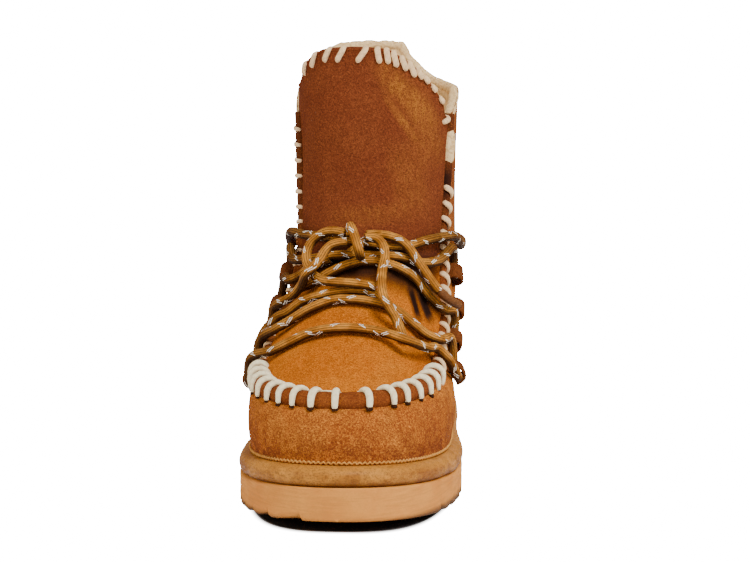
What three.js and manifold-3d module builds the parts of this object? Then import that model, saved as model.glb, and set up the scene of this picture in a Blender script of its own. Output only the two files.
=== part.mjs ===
// A mukluk boot for a left foot: suede quarters and a tall front panel joined by a rolled,
// whip-stitched seam, on a wrapped midsole and a lugged foam outsole, tied with a round lace.
// Millimetres. +X is the outer side of the foot, -Y the toe, +Z up; the floor is z = 0.
import * as THREE from "three";
import { mergeVertices } from "three/addons/utils/BufferGeometryUtils.js";
import Module from "manifold-3d";

const wasm = await Module();
wasm.setup();

// Driving dimensions
const soleLength = 276;
const ballWidth = 106;
const collarHeight = 214; // top of the back of the collar above the floor
const collarCorner = 181; // and of its two front corners
const panelHeight = 216; // top of the front panel above the floor
const wall = 3.6; // suede and the felted base of the fleece
const outsoleHeight = 16; // at the ball
const midsoleHeight = 10;
const insoleHeight = 5;
const heelLift = 7; // how much higher the foot bed lies at the heel than at the ball
const toeSpring = 6;
const heelShift = 4.5; // the heel and the shaft lie this far to the outer side of the ball
const gap = 0.35; // between neighbouring pieces
const laceDiameter = 4.8;
const seamRadiusToe = 4.6; // the rolled seam round the toe
const seamRadiusShaft = 2.9; // and up the shaft
const lugDepth = 3;
const lugPitch = 13.2;
const lugSlope = 9.5; // how far a lug's sloping side reaches along the sole
const soleEdge = 1.4; // the chamfer round the tread
const archRise = 2.2; // the tread's arch between ball and heel
const heelEndRise = 3; // and its rise at the very back
const loopWidth = 8; // a lace loop, along its hole
const loopStrap = 1.7; // and its leather's thickness
const loopPlay = 1.4; // between the lace and a loop's inside, across it
const loopSlack = 0.5; // and over it

const bedHeight = outsoleHeight + midsoleHeight;

// Small helpers
const lerp = THREE.MathUtils.lerp;
const clamp = THREE.MathUtils.clamp;
const smoothstep = THREE.MathUtils.smoothstep;
const vec = (x, y, z) => new THREE.Vector3(x, y, z);
const LATERAL = 1;
const MEDIAL = -1;

// A closed geometry as a manifold solid.
function solidOf(geometry) {
  const bare = new THREE.BufferGeometry();
  bare.setAttribute("position", geometry.getAttribute("position").clone());
  if (geometry.index) bare.setIndex(geometry.index.clone());
  const merged = mergeVertices(bare, 1e-4);
  return new wasm.Manifold(
    new wasm.Mesh({
      numProp: 3,
      vertProperties: merged.getAttribute("position").array,
      triVerts: new Uint32Array(merged.index.array),
    }),
  );
}

// Points and triangles as a solid, turned right side out if need be.
function meshSolid(points, index) {
  const geometry = new THREE.BufferGeometry();
  const positions = points.flatMap((p) => [p.x, p.y, p.z]);
  geometry.setAttribute("position", new THREE.Float32BufferAttribute(positions, 3));
  geometry.setIndex(index);
  const solid = solidOf(geometry);
  if (solid.volume() > 0) return solid;
  geometry.setIndex(index.slice().reverse());
  return solidOf(geometry);
}

// A manifold solid as a geometry.
function geometryOf(solid) {
  const mesh = solid.getMesh();
  const geometry = new THREE.BufferGeometry();
  geometry.setAttribute("position", new THREE.BufferAttribute(new Float32Array(mesh.vertProperties), 3));
  geometry.setIndex(new THREE.BufferAttribute(new Uint32Array(mesh.triVerts), 1));
  geometry.computeVertexNormals();
  return geometry;
}

// A solid skinned over closed rings of equally many points, each running front, outer side,
// back, inner side, from the lowest ring to the highest.
function ringSolid(rings) {
  const count = rings[0].length;
  const half = count / 2;
  const index = [];
  const at = (ring, i) => ring * count + ((i + count) % count);
  for (let r = 0; r + 1 < rings.length; r++)
    for (let i = 0; i < count; i++) {
      index.push(at(r, i), at(r, i + 1), at(r + 1, i + 1));
      index.push(at(r, i), at(r + 1, i + 1), at(r + 1, i));
    }
  const top = rings.length - 1;
  for (let k = 0; k < half; k++) {
    if (k > 0) {
      index.push(at(top, k), at(top, k + 1), at(top, -k));
      index.push(at(0, k), at(0, -k), at(0, k + 1));
    }
    if (k < half - 1) {
      index.push(at(top, k + 1), at(top, -k - 1), at(top, -k));
      index.push(at(0, k + 1), at(0, -k), at(0, -k - 1));
    }
  }
  return meshSolid(rings.flat(), index);
}

// A solid swept along points, with a round section of the radius and frame given at each point.
function sweptSolid(stations, sides) {
  const points = [];
  const index = [];
  stations.forEach(({ point, across, out, radius }) => {
    for (let i = 0; i < sides; i++) {
      const turn = (2 * Math.PI * i) / sides;
      const p = point
        .clone()
        .addScaledVector(across, radius * Math.cos(turn))
        .addScaledVector(out, radius * Math.sin(turn));
      points.push(p);
    }
  });
  const last = stations.length - 1;
  const at = (ring, i) => ring * sides + (i % sides);
  for (let r = 0; r < last; r++)
    for (let i = 0; i < sides; i++) {
      index.push(at(r, i), at(r + 1, i + 1), at(r, i + 1));
      index.push(at(r, i), at(r + 1, i), at(r + 1, i + 1));
    }
  for (let i = 1; i + 1 < sides; i++) {
    index.push(at(0, 0), at(0, i), at(0, i + 1));
    index.push(at(last, 0), at(last, i + 1), at(last, i));
  }
  return meshSolid(points, index);
}

// A side-view outline, points (y, z), as a prism through the whole width of the boot.
function sidePrism(outline) {
  const shape = new THREE.Shape(outline.map(([y, z]) => new THREE.Vector2(y, z)));
  const depth = ballWidth * 2;
  const geometry = new THREE.ExtrudeGeometry(shape, { depth, bevelEnabled: false, steps: 1 });
  geometry.translate(0, 0, -depth / 2);
  // shape x becomes Y, shape y becomes Z, the extrusion becomes X
  geometry.applyMatrix4(new THREE.Matrix4().makeBasis(vec(0, 1, 0), vec(0, 0, 1), vec(1, 0, 0)));
  return solidOf(geometry);
}

// A front-view outline, points (x, z), as a prism from one y to another.
function frontPrism(outline, from, to) {
  const shape = new THREE.Shape(outline.map(([x, z]) => new THREE.Vector2(x, z)));
  const geometry = new THREE.ExtrudeGeometry(shape, { depth: to - from, bevelEnabled: false, steps: 1 });
  // shape y becomes Z, the extrusion becomes -Y
  geometry.rotateX(Math.PI / 2);
  geometry.translate(0, to, 0);
  return solidOf(geometry);
}

// The sole

// How much the foot bed rises above its height at the ball: toe spring and heel wedge.
function toeLift(y) {
  const start = -soleLength * 0.2;
  const reach = soleLength * 0.3;
  return toeSpring * Math.pow(clamp((start - y) / reach, 0, 1), 1.6);
}

function bedLift(y) {
  return toeLift(y) + heelLift * smoothstep(y, -soleLength * 0.08, soleLength * 0.3);
}

const archStart = 0.02; // shares of the sole's length, from its middle
const archEnd = 0.18;

// The tread's underside: flat at the ball and the heel, raised at the toe, arch and heel's end.
function treadHeight(y) {
  const arch = Math.sin(Math.PI * clamp((y / soleLength - archStart) / (archEnd - archStart), 0, 1));
  const heelEnd = smoothstep(y, soleLength * 0.43, soleLength * 0.52);
  return toeLift(y) + archRise * arch * arch + heelEndRise * heelEnd;
}

// The foot's centre line: straight through the ball, moving outwards to the heel.
function footCentre(y) {
  return heelShift * smoothstep(y, -soleLength * 0.16, soleLength * 0.12);
}

// A point on a foot-shaped outline, by its share of the outline's length. Widths are half widths,
// `nose` and `tail` are the shares of the length that are rounded, and `skew` goes from an even
// shape (0) to a left foot's (1), whose big toe makes the inner side fuller.
const fuller = { [MEDIAL]: 0.93, [LATERAL]: 1.06 };

function outlinePoint(form, side, along) {
  const toWaist = smoothstep(along, 0.34, 0.6);
  const toHeel = smoothstep(along, 0.6, 0.86);
  let width = lerp(lerp(form.ball, form.waist, toWaist), form.heel, toHeel);
  const nose = form.nose * lerp(1, fuller[side], form.skew);
  const power = form.square;
  if (along < nose) width *= Math.pow(1 - Math.pow(1 - along / nose, power), 1 / power);
  const fromBack = 1 - along;
  if (fromBack < form.tail) width *= Math.pow(1 - Math.pow(1 - fromBack / form.tail, power), 1 / power);
  const y = lerp(form.front, form.back, along);
  const centre = lerp(heelShift, footCentre(y), form.skew) + form.lean * (1 - toHeel);
  return new THREE.Vector2(centre + side * width, y);
}

const ringSteps = 16; // points along each side of a ring

// The shares along the length at which a ring has points, closer at its ends.
const ringShare = (k) => (1 - Math.cos((Math.PI * k) / ringSteps)) / 2;
const ringShares = Array.from({ length: ringSteps + 1 }, (_, k) => ringShare(k));

function outlineRing(form) {
  const outer = ringShares.map((share) => outlinePoint(form, LATERAL, share));
  const inner = ringShares.slice(1, -1).map((share) => outlinePoint(form, MEDIAL, share));
  return [...outer, ...inner.reverse()];
}

const soleForm = {
  front: -soleLength / 2,
  back: soleLength / 2,
  ball: ballWidth * 0.511,
  waist: ballWidth * 0.415,
  heel: ballWidth * 0.375,
  nose: 0.33,
  tail: 0.2,
  square: 2.1,
  skew: 1,
  lean: 0,
};

// The sole's outline moved inwards by `inset`.
function soleRing(inset) {
  const ring = outlineRing(soleForm);
  return ring.map((p, i) => {
    const before = ring[(i + ring.length - 1) % ring.length];
    const after = ring[(i + 1) % ring.length];
    const inward = new THREE.Vector2(before.y - after.y, after.x - before.x).normalize();
    return p.clone().addScaledVector(inward, inset);
  });
}

const liftRing = (ring, height) => ring.map((p) => vec(p.x, p.y, height(p.y)));

// Rings of the sole from a table of steps: inset from the side, and height above a base surface.
function soleSlab(steps, base) {
  return ringSolid(steps.map(({ inset, rise }) => liftRing(soleRing(inset), (y) => base(y) + rise)));
}

function outsole() {
  const top = (y) => outsoleHeight + bedLift(y);
  const rings = [
    liftRing(soleRing(soleEdge), treadHeight),
    liftRing(soleRing(0), (y) => treadHeight(y) + soleEdge),
    liftRing(soleRing(0), (y) => top(y) - soleEdge / 2),
    liftRing(soleRing(soleEdge / 2), top),
  ];
  let solid = ringSolid(rings);
  // saw-toothed grooves; those nearest the toe cut only its inner side, and the arch has none
  const innerOnly = -soleLength * 0.37;
  for (let y = -soleLength * 0.485; y < soleLength * 0.48; y += lugPitch) {
    if (y + lugPitch > soleLength * archStart && y < soleLength * archEnd) continue;
    const low = treadHeight(y) - lugDepth;
    const high = treadHeight(y) + lugDepth;
    const tooth = sidePrism([[y, low], [y + lugSlope * 2, low], [y, high]]);
    solid = solid.subtract(y < innerOnly ? tooth.translate([-ballWidth - lugPitch, 0, 0]) : tooth);
  }
  return solid;
}

// The wrapped midsole: its leather bulges past the outsole and turns in towards the upper.
const midsoleSteps = [
  { inset: 1.6, rise: 0 },
  { inset: 0.1, rise: 0.14 },
  { inset: -0.4, rise: 0.4 },
  { inset: 0.1, rise: 0.66 },
  { inset: 1.8, rise: 0.87 },
  { inset: 4.9, rise: 1 },
];

function midsole() {
  const height = midsoleHeight - gap;
  const steps = midsoleSteps.map(({ inset, rise }) => ({ inset, rise: gap + rise * height }));
  return soleSlab(steps, (y) => outsoleHeight + bedLift(y));
}

// The upper's form over the last: horizontal sections from the foot bed to above the collar.
// rise: share of the collar's height over the foot bed. front, back: shares of the sole's length.
// ball, waist, heel: half widths, shares of the ball width. follow: how much the section follows
// the foot bed's toe spring and heel lift. lean: how far its front half lies to the outer side, in
// shares of the ball width.
const sectionColumns =
  "rise front back ball waist heel nose tail square skew follow lean".split(" ");
const sections = [
  [0, -0.47, 0.482, 0.452, 0.372, 0.333, 0.3, 0.2, 2.1, 1, 1, 0],
  [0.05, -0.478, 0.487, 0.468, 0.385, 0.348, 0.3, 0.2, 2.1, 1, 0.95, 0],
  [0.105, -0.47, 0.488, 0.472, 0.392, 0.357, 0.31, 0.21, 2.1, 1, 0.8, 0],
  [0.149, -0.442, 0.486, 0.462, 0.392, 0.361, 0.32, 0.22, 2.1, 1, 0.65, -0.006],
  [0.182, -0.395, 0.484, 0.428, 0.382, 0.364, 0.36, 0.23, 2.05, 0.95, 0.5, -0.017],
  [0.21, -0.342, 0.482, 0.426, 0.388, 0.366, 0.4, 0.24, 2, 0.9, 0.4, -0.016],
  [0.242, -0.285, 0.479, 0.424, 0.394, 0.368, 0.43, 0.26, 2, 0.8, 0.3, -0.015],
  [0.281, -0.222, 0.476, 0.419, 0.398, 0.371, 0.455, 0.28, 2, 0.65, 0.22, -0.01],
  [0.33, -0.158, 0.471, 0.412, 0.4, 0.374, 0.48, 0.31, 2, 0.5, 0.15, -0.004],
  [0.39, -0.095, 0.465, 0.398, 0.393, 0.377, 0.5, 0.34, 2, 0.3, 0.08, 0],
  [0.455, -0.042, 0.46, 0.386, 0.385, 0.38, 0.5, 0.39, 2.1, 0.1, 0.03, 0],
  [0.526, 0, 0.457, 0.384, 0.384, 0.384, 0.5, 0.44, 2.2, 0, 0, 0],
  [0.608, 0.028, 0.455, 0.388, 0.388, 0.388, 0.5, 0.5, 2.3, 0, 0, 0],
  [0.744, 0.046, 0.455, 0.393, 0.393, 0.393, 0.5, 0.5, 2.35, 0, 0, 0],
  [0.88, 0.057, 0.457, 0.398, 0.398, 0.398, 0.5, 0.5, 2.4, 0, 0, 0],
  [1.06, 0.068, 0.463, 0.404, 0.404, 0.404, 0.5, 0.5, 2.4, 0, 0, 0],
].map((row) => Object.fromEntries(sectionColumns.map((name, i) => [name, row[i]])));
const lastSection = sections.length - 1;

// One column of the table between its rows, as a smooth curve.
function column(name, at) {
  const row = clamp(Math.floor(at), 0, lastSection - 1);
  const t = at - row;
  const value = (i) => sections[clamp(i, 0, lastSection)][name];
  const [a, b, c, d] = [value(row - 1), value(row), value(row + 1), value(row + 2)];
  const linear = c - a;
  const squared = 2 * a - 5 * b + 4 * c - d;
  const cubed = 3 * b - a - 3 * c + d;
  return b + (linear * t + squared * t * t + cubed * t * t * t) / 2;
}

// The form of the section at a place in the table, 0 at the foot bed.
function formAt(at) {
  return {
    front: column("front", at) * soleLength,
    back: column("back", at) * soleLength,
    ball: column("ball", at) * ballWidth,
    waist: column("waist", at) * ballWidth,
    heel: column("heel", at) * ballWidth,
    nose: column("nose", at),
    tail: column("tail", at),
    square: column("square", at),
    skew: column("skew", at),
    rise: bedHeight + gap + column("rise", at) * (collarHeight - bedHeight),
    follow: column("follow", at),
    lean: column("lean", at) * ballWidth,
  };
}

// A point on the upper's outside, by its place in the table and its share along that section.
function upperPoint(at, side, along) {
  const form = formAt(at);
  const p = outlinePoint(form, side, along);
  return vec(p.x, p.y, form.rise + form.follow * bedLift(p.y));
}

// The outside's point and outward normal at a height and a place along the boot, on one side.
function upperAt(side, y, z) {
  let low = 0;
  let high = lastSection;
  for (let i = 0; i < 40; i++) {
    const middle = (low + high) / 2;
    const form = formAt(middle);
    if (form.rise + form.follow * bedLift(y) < z) low = middle;
    else high = middle;
  }
  const form = formAt(low);
  const along = clamp((y - form.front) / (form.back - form.front), 0, 1);
  return { ...frameAt(low, side, along), along, at: low };
}

function frameAt(at, side, along) {
  const step = clamp(Math.min(along, 1 - along) / 2, 2e-6, 0.004);
  const point = upperPoint(at, side, along);
  const near = clamp(along, step, 1 - step);
  const down = upperPoint(Math.max(at - 0.004, 0), side, near);
  const up = upperPoint(Math.min(at + 0.004, lastSection), side, near);
  const before = upperPoint(at, side, near - step);
  const after = upperPoint(at, side, near + step);
  const normal = after.sub(before).cross(up.sub(down)).normalize().multiplyScalar(side);
  return { point, normal };
}

// The outside's point and normal at a height and a distance from the middle, on the front.
function frontAt(x, z) {
  const nose = upperAt(LATERAL, -soleLength / 2, z).point.x;
  const side = x < nose ? MEDIAL : LATERAL;
  let low = -soleLength / 2;
  let high = soleLength * 0.22;
  for (let i = 0; i < 30; i++) {
    const middle = (low + high) / 2;
    if (side * upperAt(side, middle, z).point.x < side * x) low = middle;
    else high = middle;
  }
  return upperAt(side, low, z);
}

// The upper's rings: two for each row of the table up to the ankle, one for each on the shaft.
const ankleRow = 10;
const ringPlaces = sections.flatMap((_, row) => (row < ankleRow ? [row, row + 0.5] : [row]));

// A ring of the upper's outside, moved inwards by `inset` along its normals.
function upperRing(at, inset) {
  const place = (side) => (share) => {
    const { point, normal } = frameAt(at, side, share);
    return point.addScaledVector(normal, -inset);
  };
  const outer = ringShares.map(place(LATERAL));
  const inner = ringShares.slice(1, -1).map(place(MEDIAL));
  return [...outer, ...inner.reverse()];
}

function upperRings(inset) {
  return ringPlaces.map((at) => upperRing(at, inset));
}

// The space inside the upper, open below and above.
function upperCavity() {
  const rings = upperRings(wall);
  const below = rings[0].map((p) => vec(p.x, p.y, p.z - wall));
  const above = rings.at(-1).map((p) => vec(p.x, p.y, p.z + wall));
  return ringSolid([below, ...rings, above]);
}

// The foot bed fills the upper's bottom.
function insole() {
  const layer = (inset, rise) =>
    liftRing(upperRing(0, wall + gap + inset), (y) => bedHeight + bedLift(y) + rise);
  return ringSolid([layer(0, gap), layer(0, insoleHeight - 1), layer(1.5, insoleHeight)]);
}

// The throat

// The throat's edge in side view: level round the toe, then up the ankle and the shaft.
// y in shares of the sole's length, z in millimetres above the foot bed at the ball.
const throatLine = [
  { y: -0.44, z: 33 },
  { y: -0.3, z: 33.4 },
  { y: -0.2, z: 35 },
  { y: -0.12, z: 39.4 },
  { y: -0.04, z: 50 },
  { y: 0.03, z: 66 },
  { y: 0.09, z: 86 },
  { y: 0.132, z: 108 },
  { y: 0.153, z: 132 },
  { y: 0.165, z: 158 },
  { y: 0.172, z: 200 },
];
const throatCurve = new THREE.CatmullRomCurve3(
  throatLine.map(({ y, z }) => vec(0, y * soleLength, bedHeight + z)),
);

// The throat's edge on one side from the toe to the top, as frames with the outward normal.
function throatEdge(side) {
  const steps = 500;
  const path = [];
  for (let k = 0; k <= steps; k++) {
    const { y, z } = throatCurve.getPoint(Math.pow(k / steps, 1.5));
    const frame = upperAt(side, y, z);
    if (frame.along === 0) path.length = 0;
    path.push(frame);
  }
  return path;
}

// Frames spaced evenly along a path of frames.
function spaced(path, count) {
  const lengths = [0];
  for (let i = 1; i < path.length; i++) {
    lengths.push(lengths[i - 1] + path[i].point.distanceTo(path[i - 1].point));
  }
  const total = lengths.at(-1);
  const frames = [];
  let i = 0;
  for (let k = 0; k < count; k++) {
    const goal = (total * k) / (count - 1);
    while (i < path.length - 2 && lengths[i + 1] < goal) i++;
    const t = clamp((goal - lengths[i]) / (lengths[i + 1] - lengths[i]), 0, 1);
    const point = path[i].point.clone().lerp(path[i + 1].point, t);
    const normal = path[i].normal.clone().lerp(path[i + 1].normal, t).normalize();
    frames.push({ point, normal });
  }
  return frames;
}

const edgeSteps = 28;
const edges = {
  [MEDIAL]: spaced(throatEdge(MEDIAL), edgeSteps),
  [LATERAL]: spaced(throatEdge(LATERAL), edgeSteps),
};

// What is cut out of the shell for the throat: all that lies in front of its edge.
function throatCutter() {
  const front = -soleLength * 0.6;
  const start = throatCurve.getPoint(0);
  const end = throatCurve.getPoint(1);
  const line = throatCurve.getSpacedPoints(48).map(({ y, z }) => [y, z]);
  return sidePrism([[front, start.z], ...line, [end.y, panelHeight * 1.2], [front, panelHeight * 1.2]]);
}

// The rolled seam's radius, thicker round the toe, and how far it rises over the surface.
const seamSink = 0.35; // share of its radius by which its middle lies outside the wall's middle

function seamRadius(y) {
  return lerp(seamRadiusToe, seamRadiusShaft, smoothstep(y, -soleLength * 0.22, -soleLength * 0.06));
}

function seamRise(y) {
  return seamRadius(y) * (1 + seamSink) - wall / 2;
}

// The rolled seam along the throat's edge.
function rolledSeam(extra) {
  const path = [...edges[MEDIAL].slice(1).reverse(), ...edges[LATERAL]];
  const stations = path.map(({ point, normal }, i) => {
    const before = path[Math.max(i - 1, 0)].point;
    const after = path[Math.min(i + 1, path.length - 1)].point;
    const along = after.clone().sub(before).normalize();
    const radius = seamRadius(point.y);
    return {
      point: point.clone().addScaledVector(normal, radius * seamSink - wall / 2),
      across: along.clone().cross(normal).normalize(),
      out: normal,
      radius: radius + extra,
    };
  });
  return sweptSolid(stations, 8);
}

const cavity = upperCavity();
const shell = ringSolid(upperRings(0)).subtract(cavity);
const throat = throatCutter();
const seam = rolledSeam(0);

// The collar in side view: low at its front corners, high at the back. Shares of its rise.
const collarLine = [
  { y: -0.5, rise: 0 },
  { y: 0.15, rise: 0 },
  { y: 0.2, rise: 0.12 },
  { y: 0.27, rise: 0.34 },
  { y: 0.34, rise: 0.6 },
  { y: 0.41, rise: 0.86 },
  { y: 0.46, rise: 1 },
  { y: 0.6, rise: 1 },
];

// And its back seen from the front: it falls sooner on the outer side. Drops in millimetres.
const collarBack = [
  { across: -0.8, drop: 18 },
  { across: -0.44, drop: 12 },
  { across: -0.33, drop: 5 },
  { across: -0.22, drop: 1 },
  { across: -0.1, drop: 0 },
  { across: 0.05, drop: 0 },
  { across: 0.13, drop: 3 },
  { across: 0.2, drop: 10 },
  { across: 0.27, drop: 16 },
  { across: 0.36, drop: 20 },
  { across: 0.8, drop: 27 },
];

function collarCutter() {
  const top = panelHeight * 1.2;
  const side = collarLine.map(({ y, rise }) => [y * soleLength, lerp(collarCorner, collarHeight, rise)]);
  const back = collarBack.map(({ across, drop }) => [across * ballWidth, collarHeight - drop]);
  const fromSide = sidePrism([...side, [side.at(-1)[0], top], [side[0][0], top]]);
  const outline = [...back, [back.at(-1)[0], top], [back[0][0], top]];
  const fromFront = frontPrism(outline, soleLength * 0.2, soleLength * 0.6);
  return fromSide.add(fromFront);
}

function upper() {
  return shell.subtract(throat).add(seam.subtract(cavity)).subtract(collarCutter());
}

// The top of the front panel: level over the shin, falling away to the outer side.
const panelTop = [
  { across: -0.5, drop: 30 },
  { across: -0.37, drop: 20 },
  { across: -0.335, drop: 10 },
  { across: -0.28, drop: 4 },
  { across: -0.2, drop: 0.8 },
  { across: -0.08, drop: 0 },
  { across: 0.04, drop: 0.6 },
  { across: 0.13, drop: 4 },
  { across: 0.21, drop: 10 },
  { across: 0.28, drop: 18 },
  { across: 0.335, drop: 28 },
  { across: 0.37, drop: 38 },
  { across: 0.5, drop: 44 },
];

function tongue() {
  const top = panelTop.map(({ across, drop }) => [heelShift + across * ballWidth, panelHeight - drop]);
  const outline = [[top[0][0], bedHeight], [top.at(-1)[0], bedHeight], ...top.reverse()];
  const opening = throat.translate([0, -gap, gap]);
  const whole = shell.intersect(opening).subtract(rolledSeam(gap));
  return whole.intersect(frontPrism(outline, -soleLength * 0.6, soleLength * 0.3));
}

// The lace loops

// A leather loop stands on the quarter beside the seam: its place along the throat's line on each
// side, and how far outside the line it lies.
const loopPlaces = [
  { [MEDIAL]: 0.322, [LATERAL]: 0.338, away: 12.6 },
  { [MEDIAL]: 0.41, [LATERAL]: 0.41, away: 8.6 },
  { [MEDIAL]: 0.48, [LATERAL]: 0.48, away: 8.4 },
  { [MEDIAL]: 0.55, [LATERAL]: 0.55, away: 8.4 },
];
const loopHole = laceDiameter / 2 + loopPlay; // half its width
const loopArch = laceDiameter / 2 + loopSlack; // and half its height
const loopStand = laceDiameter / 2 + gap * 1.5; // the hole's centre above the quarter
const loopNames = { [MEDIAL]: "medial", [LATERAL]: "lateral" };

// The loop's own axes: `along` the hole, `across` the strap's feet, and `out` of the quarter.
function loopFrame(side, { [side]: along, away }) {
  const { y, z } = throatCurve.getPointAt(along);
  const tangent = throatCurve.getTangentAt(along);
  const outside = vec(0, tangent.z, -tangent.y);
  const seat = upperAt(side, y + outside.y * away, z + outside.z * away);
  const out = seat.normal;
  const hole = tangent.clone().addScaledVector(out, -tangent.dot(out)).normalize();
  return { seat: seat.point, out, hole, across: out.clone().cross(hole) };
}

function laceLoop(side, place) {
  const { seat, out, hole, across } = loopFrame(side, place);
  const outer = loopHole + loopStrap;
  const turns = 6;
  const arc = (width, height) =>
    Array.from({ length: turns + 1 }, (_, i) => {
      const turn = (Math.PI * i) / turns;
      return new THREE.Vector2(width * Math.cos(turn), loopStand + height * Math.sin(turn));
    });
  const foot = (x) => new THREE.Vector2(x, gap * 1.5);
  const outside = [foot(outer), ...arc(outer, loopArch + loopStrap), foot(-outer)];
  const inside = [foot(-loopHole), ...arc(loopHole, loopArch).reverse(), foot(loopHole)];
  const outline = [...outside, ...inside];
  const shape = new THREE.Shape(outline);
  const geometry = new THREE.ExtrudeGeometry(shape, { depth: loopWidth, bevelEnabled: false, steps: 1 });
  geometry.translate(0, 0, -loopWidth / 2);
  geometry.applyMatrix4(new THREE.Matrix4().makeBasis(across, out, hole).setPosition(seat));
  return solidOf(geometry);
}

// The lace

const cordCurve = (points) => new THREE.CatmullRomCurve3(points, false, "centripetal");

// A round cord through points, with a ring every `pace` diameters.
function cord(points, pace = 2.4, diameter = laceDiameter) {
  const curve = cordCurve(points);
  const steps = Math.max(3, Math.round(curve.getLength() / (diameter * pace)));
  const corners = Array.from({ length: cordSides }, (_, i) => {
    const turn = (2 * Math.PI * i) / cordSides;
    return new THREE.Vector2((diameter / 2) * Math.cos(turn), (diameter / 2) * Math.sin(turn));
  });
  const section = new THREE.Shape(corners);
  return solidOf(new THREE.ExtrudeGeometry(section, { steps, bevelEnabled: false, extrudePath: curve }));
}

// How far a cord's middle stands off what it lies on.
const cordSides = 8;
const barPace = 1.95;
const standOff = laceDiameter / 2 + gap * 3;

// A cord's point over the front, by its distance from the middle and its height.
function overFront({ x, z, lift = 0 }) {
  const { point, normal } = frontAt(x, z);
  return point.addScaledVector(normal, standOff + lift);
}

// A cord's point over the rolled seam, by the place along the throat's line.
function overSeam(side, along) {
  const { y, z } = throatCurve.getPointAt(along);
  const { point, normal } = upperAt(side, y, z);
  return point.addScaledVector(normal, standOff + seamRise(point.y));
}

// Where along the throat's line a height is reached.
function seamPlace(height) {
  let low = 0;
  let high = 1;
  for (let i = 0; i < 30; i++) {
    const middle = (low + high) / 2;
    if (throatCurve.getPointAt(middle).z < height) low = middle;
    else high = middle;
  }
  return low;
}

// A cord's point round the side and the back of the shaft, by its share along the section there.
function roundShaft(side, along, z) {
  const { at } = upperAt(side, 0, z);
  const { point, normal } = frameAt(at, side, along);
  return point.addScaledVector(normal, standOff);
}

// Into a loop's hole over the seam, from its toe end (-1) or its heel end (1).
function intoLoop(side, number, from) {
  const place = loopPlaces[number];
  const { seat, out, hole } = loopFrame(side, place);
  const centre = seat.clone().addScaledVector(out, loopStand);
  const mouth = centre.clone().addScaledVector(hole, from * loopWidth * 0.8);
  const end = centre.addScaledVector(hole, -from * laceDiameter * 0.4);
  return [overSeam(side, place[side] + from * 0.036), mouth, end];
}

// The crossings over the front, from a loop on the inner side to one on the outer side. Each end
// enters its loop from the toe end or the heel end; a bar with no loop at an end joins another bar
// there. x is across from the middle and z above the floor; lift raises it over other bars.
const bars = [
  {
    medial: { loop: 0, from: -1 },
    lateral: { loop: 0, from: -1 },
    front: [
      { x: -36.5, z: 69.5, lift: 0.5 },
      { x: -29, z: 74 },
      { x: -18.5, z: 79 },
      { x: -6.5, z: 81.5 },
      { x: 4.5, z: 81.5 },
      { x: 16, z: 78.5, lift: 1.5 },
      { x: 24.5, z: 72.5, lift: 5.8 },
      { x: 33, z: 70.5, lift: 2.8 },
      { x: 37, z: 69.8, lift: 1.9 },
    ],
  },
  {
    medial: { loop: 0, from: 1 },
    lateral: { loop: 0, from: 1 },
    front: [
      { x: -36, z: 77, lift: 1 },
      { x: -30.5, z: 81.5 },
      { x: -20.5, z: 88 },
      { x: -9, z: 92.5 },
      { x: 2, z: 93 },
      { x: 11.5, z: 91.5 },
      { x: 18.5, z: 89 },
      { x: 26.5, z: 83 },
      { x: 33.5, z: 76.5, lift: 0.5 },
      { x: 38.5, z: 72.8, lift: 2 },
    ],
  },
  {
    medial: { loop: 1, from: -1 },
    front: [
      { x: -36, z: 81, lift: 1.5 },
      { x: -32, z: 84.5 },
      { x: -25, z: 90 },
      { x: -15.5, z: 94 },
      { x: -3.5, z: 96.5 },
      { x: 7.5, z: 96 },
      { x: 14.5, z: 92 },
    ],
  },
  {
    medial: { loop: 1, from: 1 },
    front: [
      { x: -36, z: 86, lift: 2 },
      { x: -31, z: 90, lift: 1 },
      { x: -24.5, z: 94.5, lift: 3 },
      { x: -17, z: 96.5, lift: 11.3 },
      { x: -14, z: 99, lift: 12.5 },
      { x: -12, z: 103.7, lift: 11 },
      { x: -10.5, z: 108, lift: 10.5 },
      { x: -8.3, z: 110.8, lift: 10.7 },
      { x: -5, z: 112.2, lift: 10.7 },
      { x: -2.5, z: 112.6, lift: 10.5 },
    ],
  },
  {
    lateral: { loop: 1, from: 1 },
    front: [
      { x: -26, z: 95, lift: 1 },
      { x: -21.5, z: 98 },
      { x: -17, z: 101 },
      { x: -9, z: 105.8 },
      { x: -1.5, z: 108.8 },
      { x: 4, z: 109.8 },
      { x: 9.5, z: 109.6 },
      { x: 19, z: 107 },
      { x: 27.5, z: 101 },
      { x: 34, z: 92.5 },
      { x: 40, z: 85.5, lift: 0.5 },
    ],
  },
  {
    medial: { loop: 2, from: 1 },
    front: [
      { x: -31.5, z: 97, lift: 2 },
      { x: -28, z: 100.5 },
      { x: -23, z: 104.5 },
      { x: -18, z: 107.5 },
      { x: -12.5, z: 110 },
    ],
  },
  {
    medial: { loop: 3, from: 1 },
    lateral: { loop: 3, from: 1 },
    front: [
      { x: -31, z: 107.5, lift: 1.5 },
      { x: -25, z: 109 },
      { x: -17.5, z: 110.5 },
      { x: -10, z: 112 },
      { x: -3, z: 112.6 },
      { x: 3, z: 112.4 },
      { x: 9, z: 112.2 },
      { x: 20, z: 111.5 },
      { x: 29, z: 108.5 },
      { x: 35.5, z: 108, lift: 1.5 },
    ],
  },
  {
    front: [
      { x: -3, z: 112.6, lift: 1 },
      { x: 0, z: 115.5, lift: 0.6 },
      { x: 3, z: 118.5, lift: 0.3 },
      { x: 6, z: 120, lift: 0.2 },
    ],
  },
];

function laceBar({ medial, lateral, front }) {
  const points = front.map(overFront);
  if (medial) points.unshift(...intoLoop(MEDIAL, medial.loop, medial.from).reverse());
  if (lateral) points.push(...intoLoop(LATERAL, lateral.loop, lateral.from));
  return cord(points, barPace);
}

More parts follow.
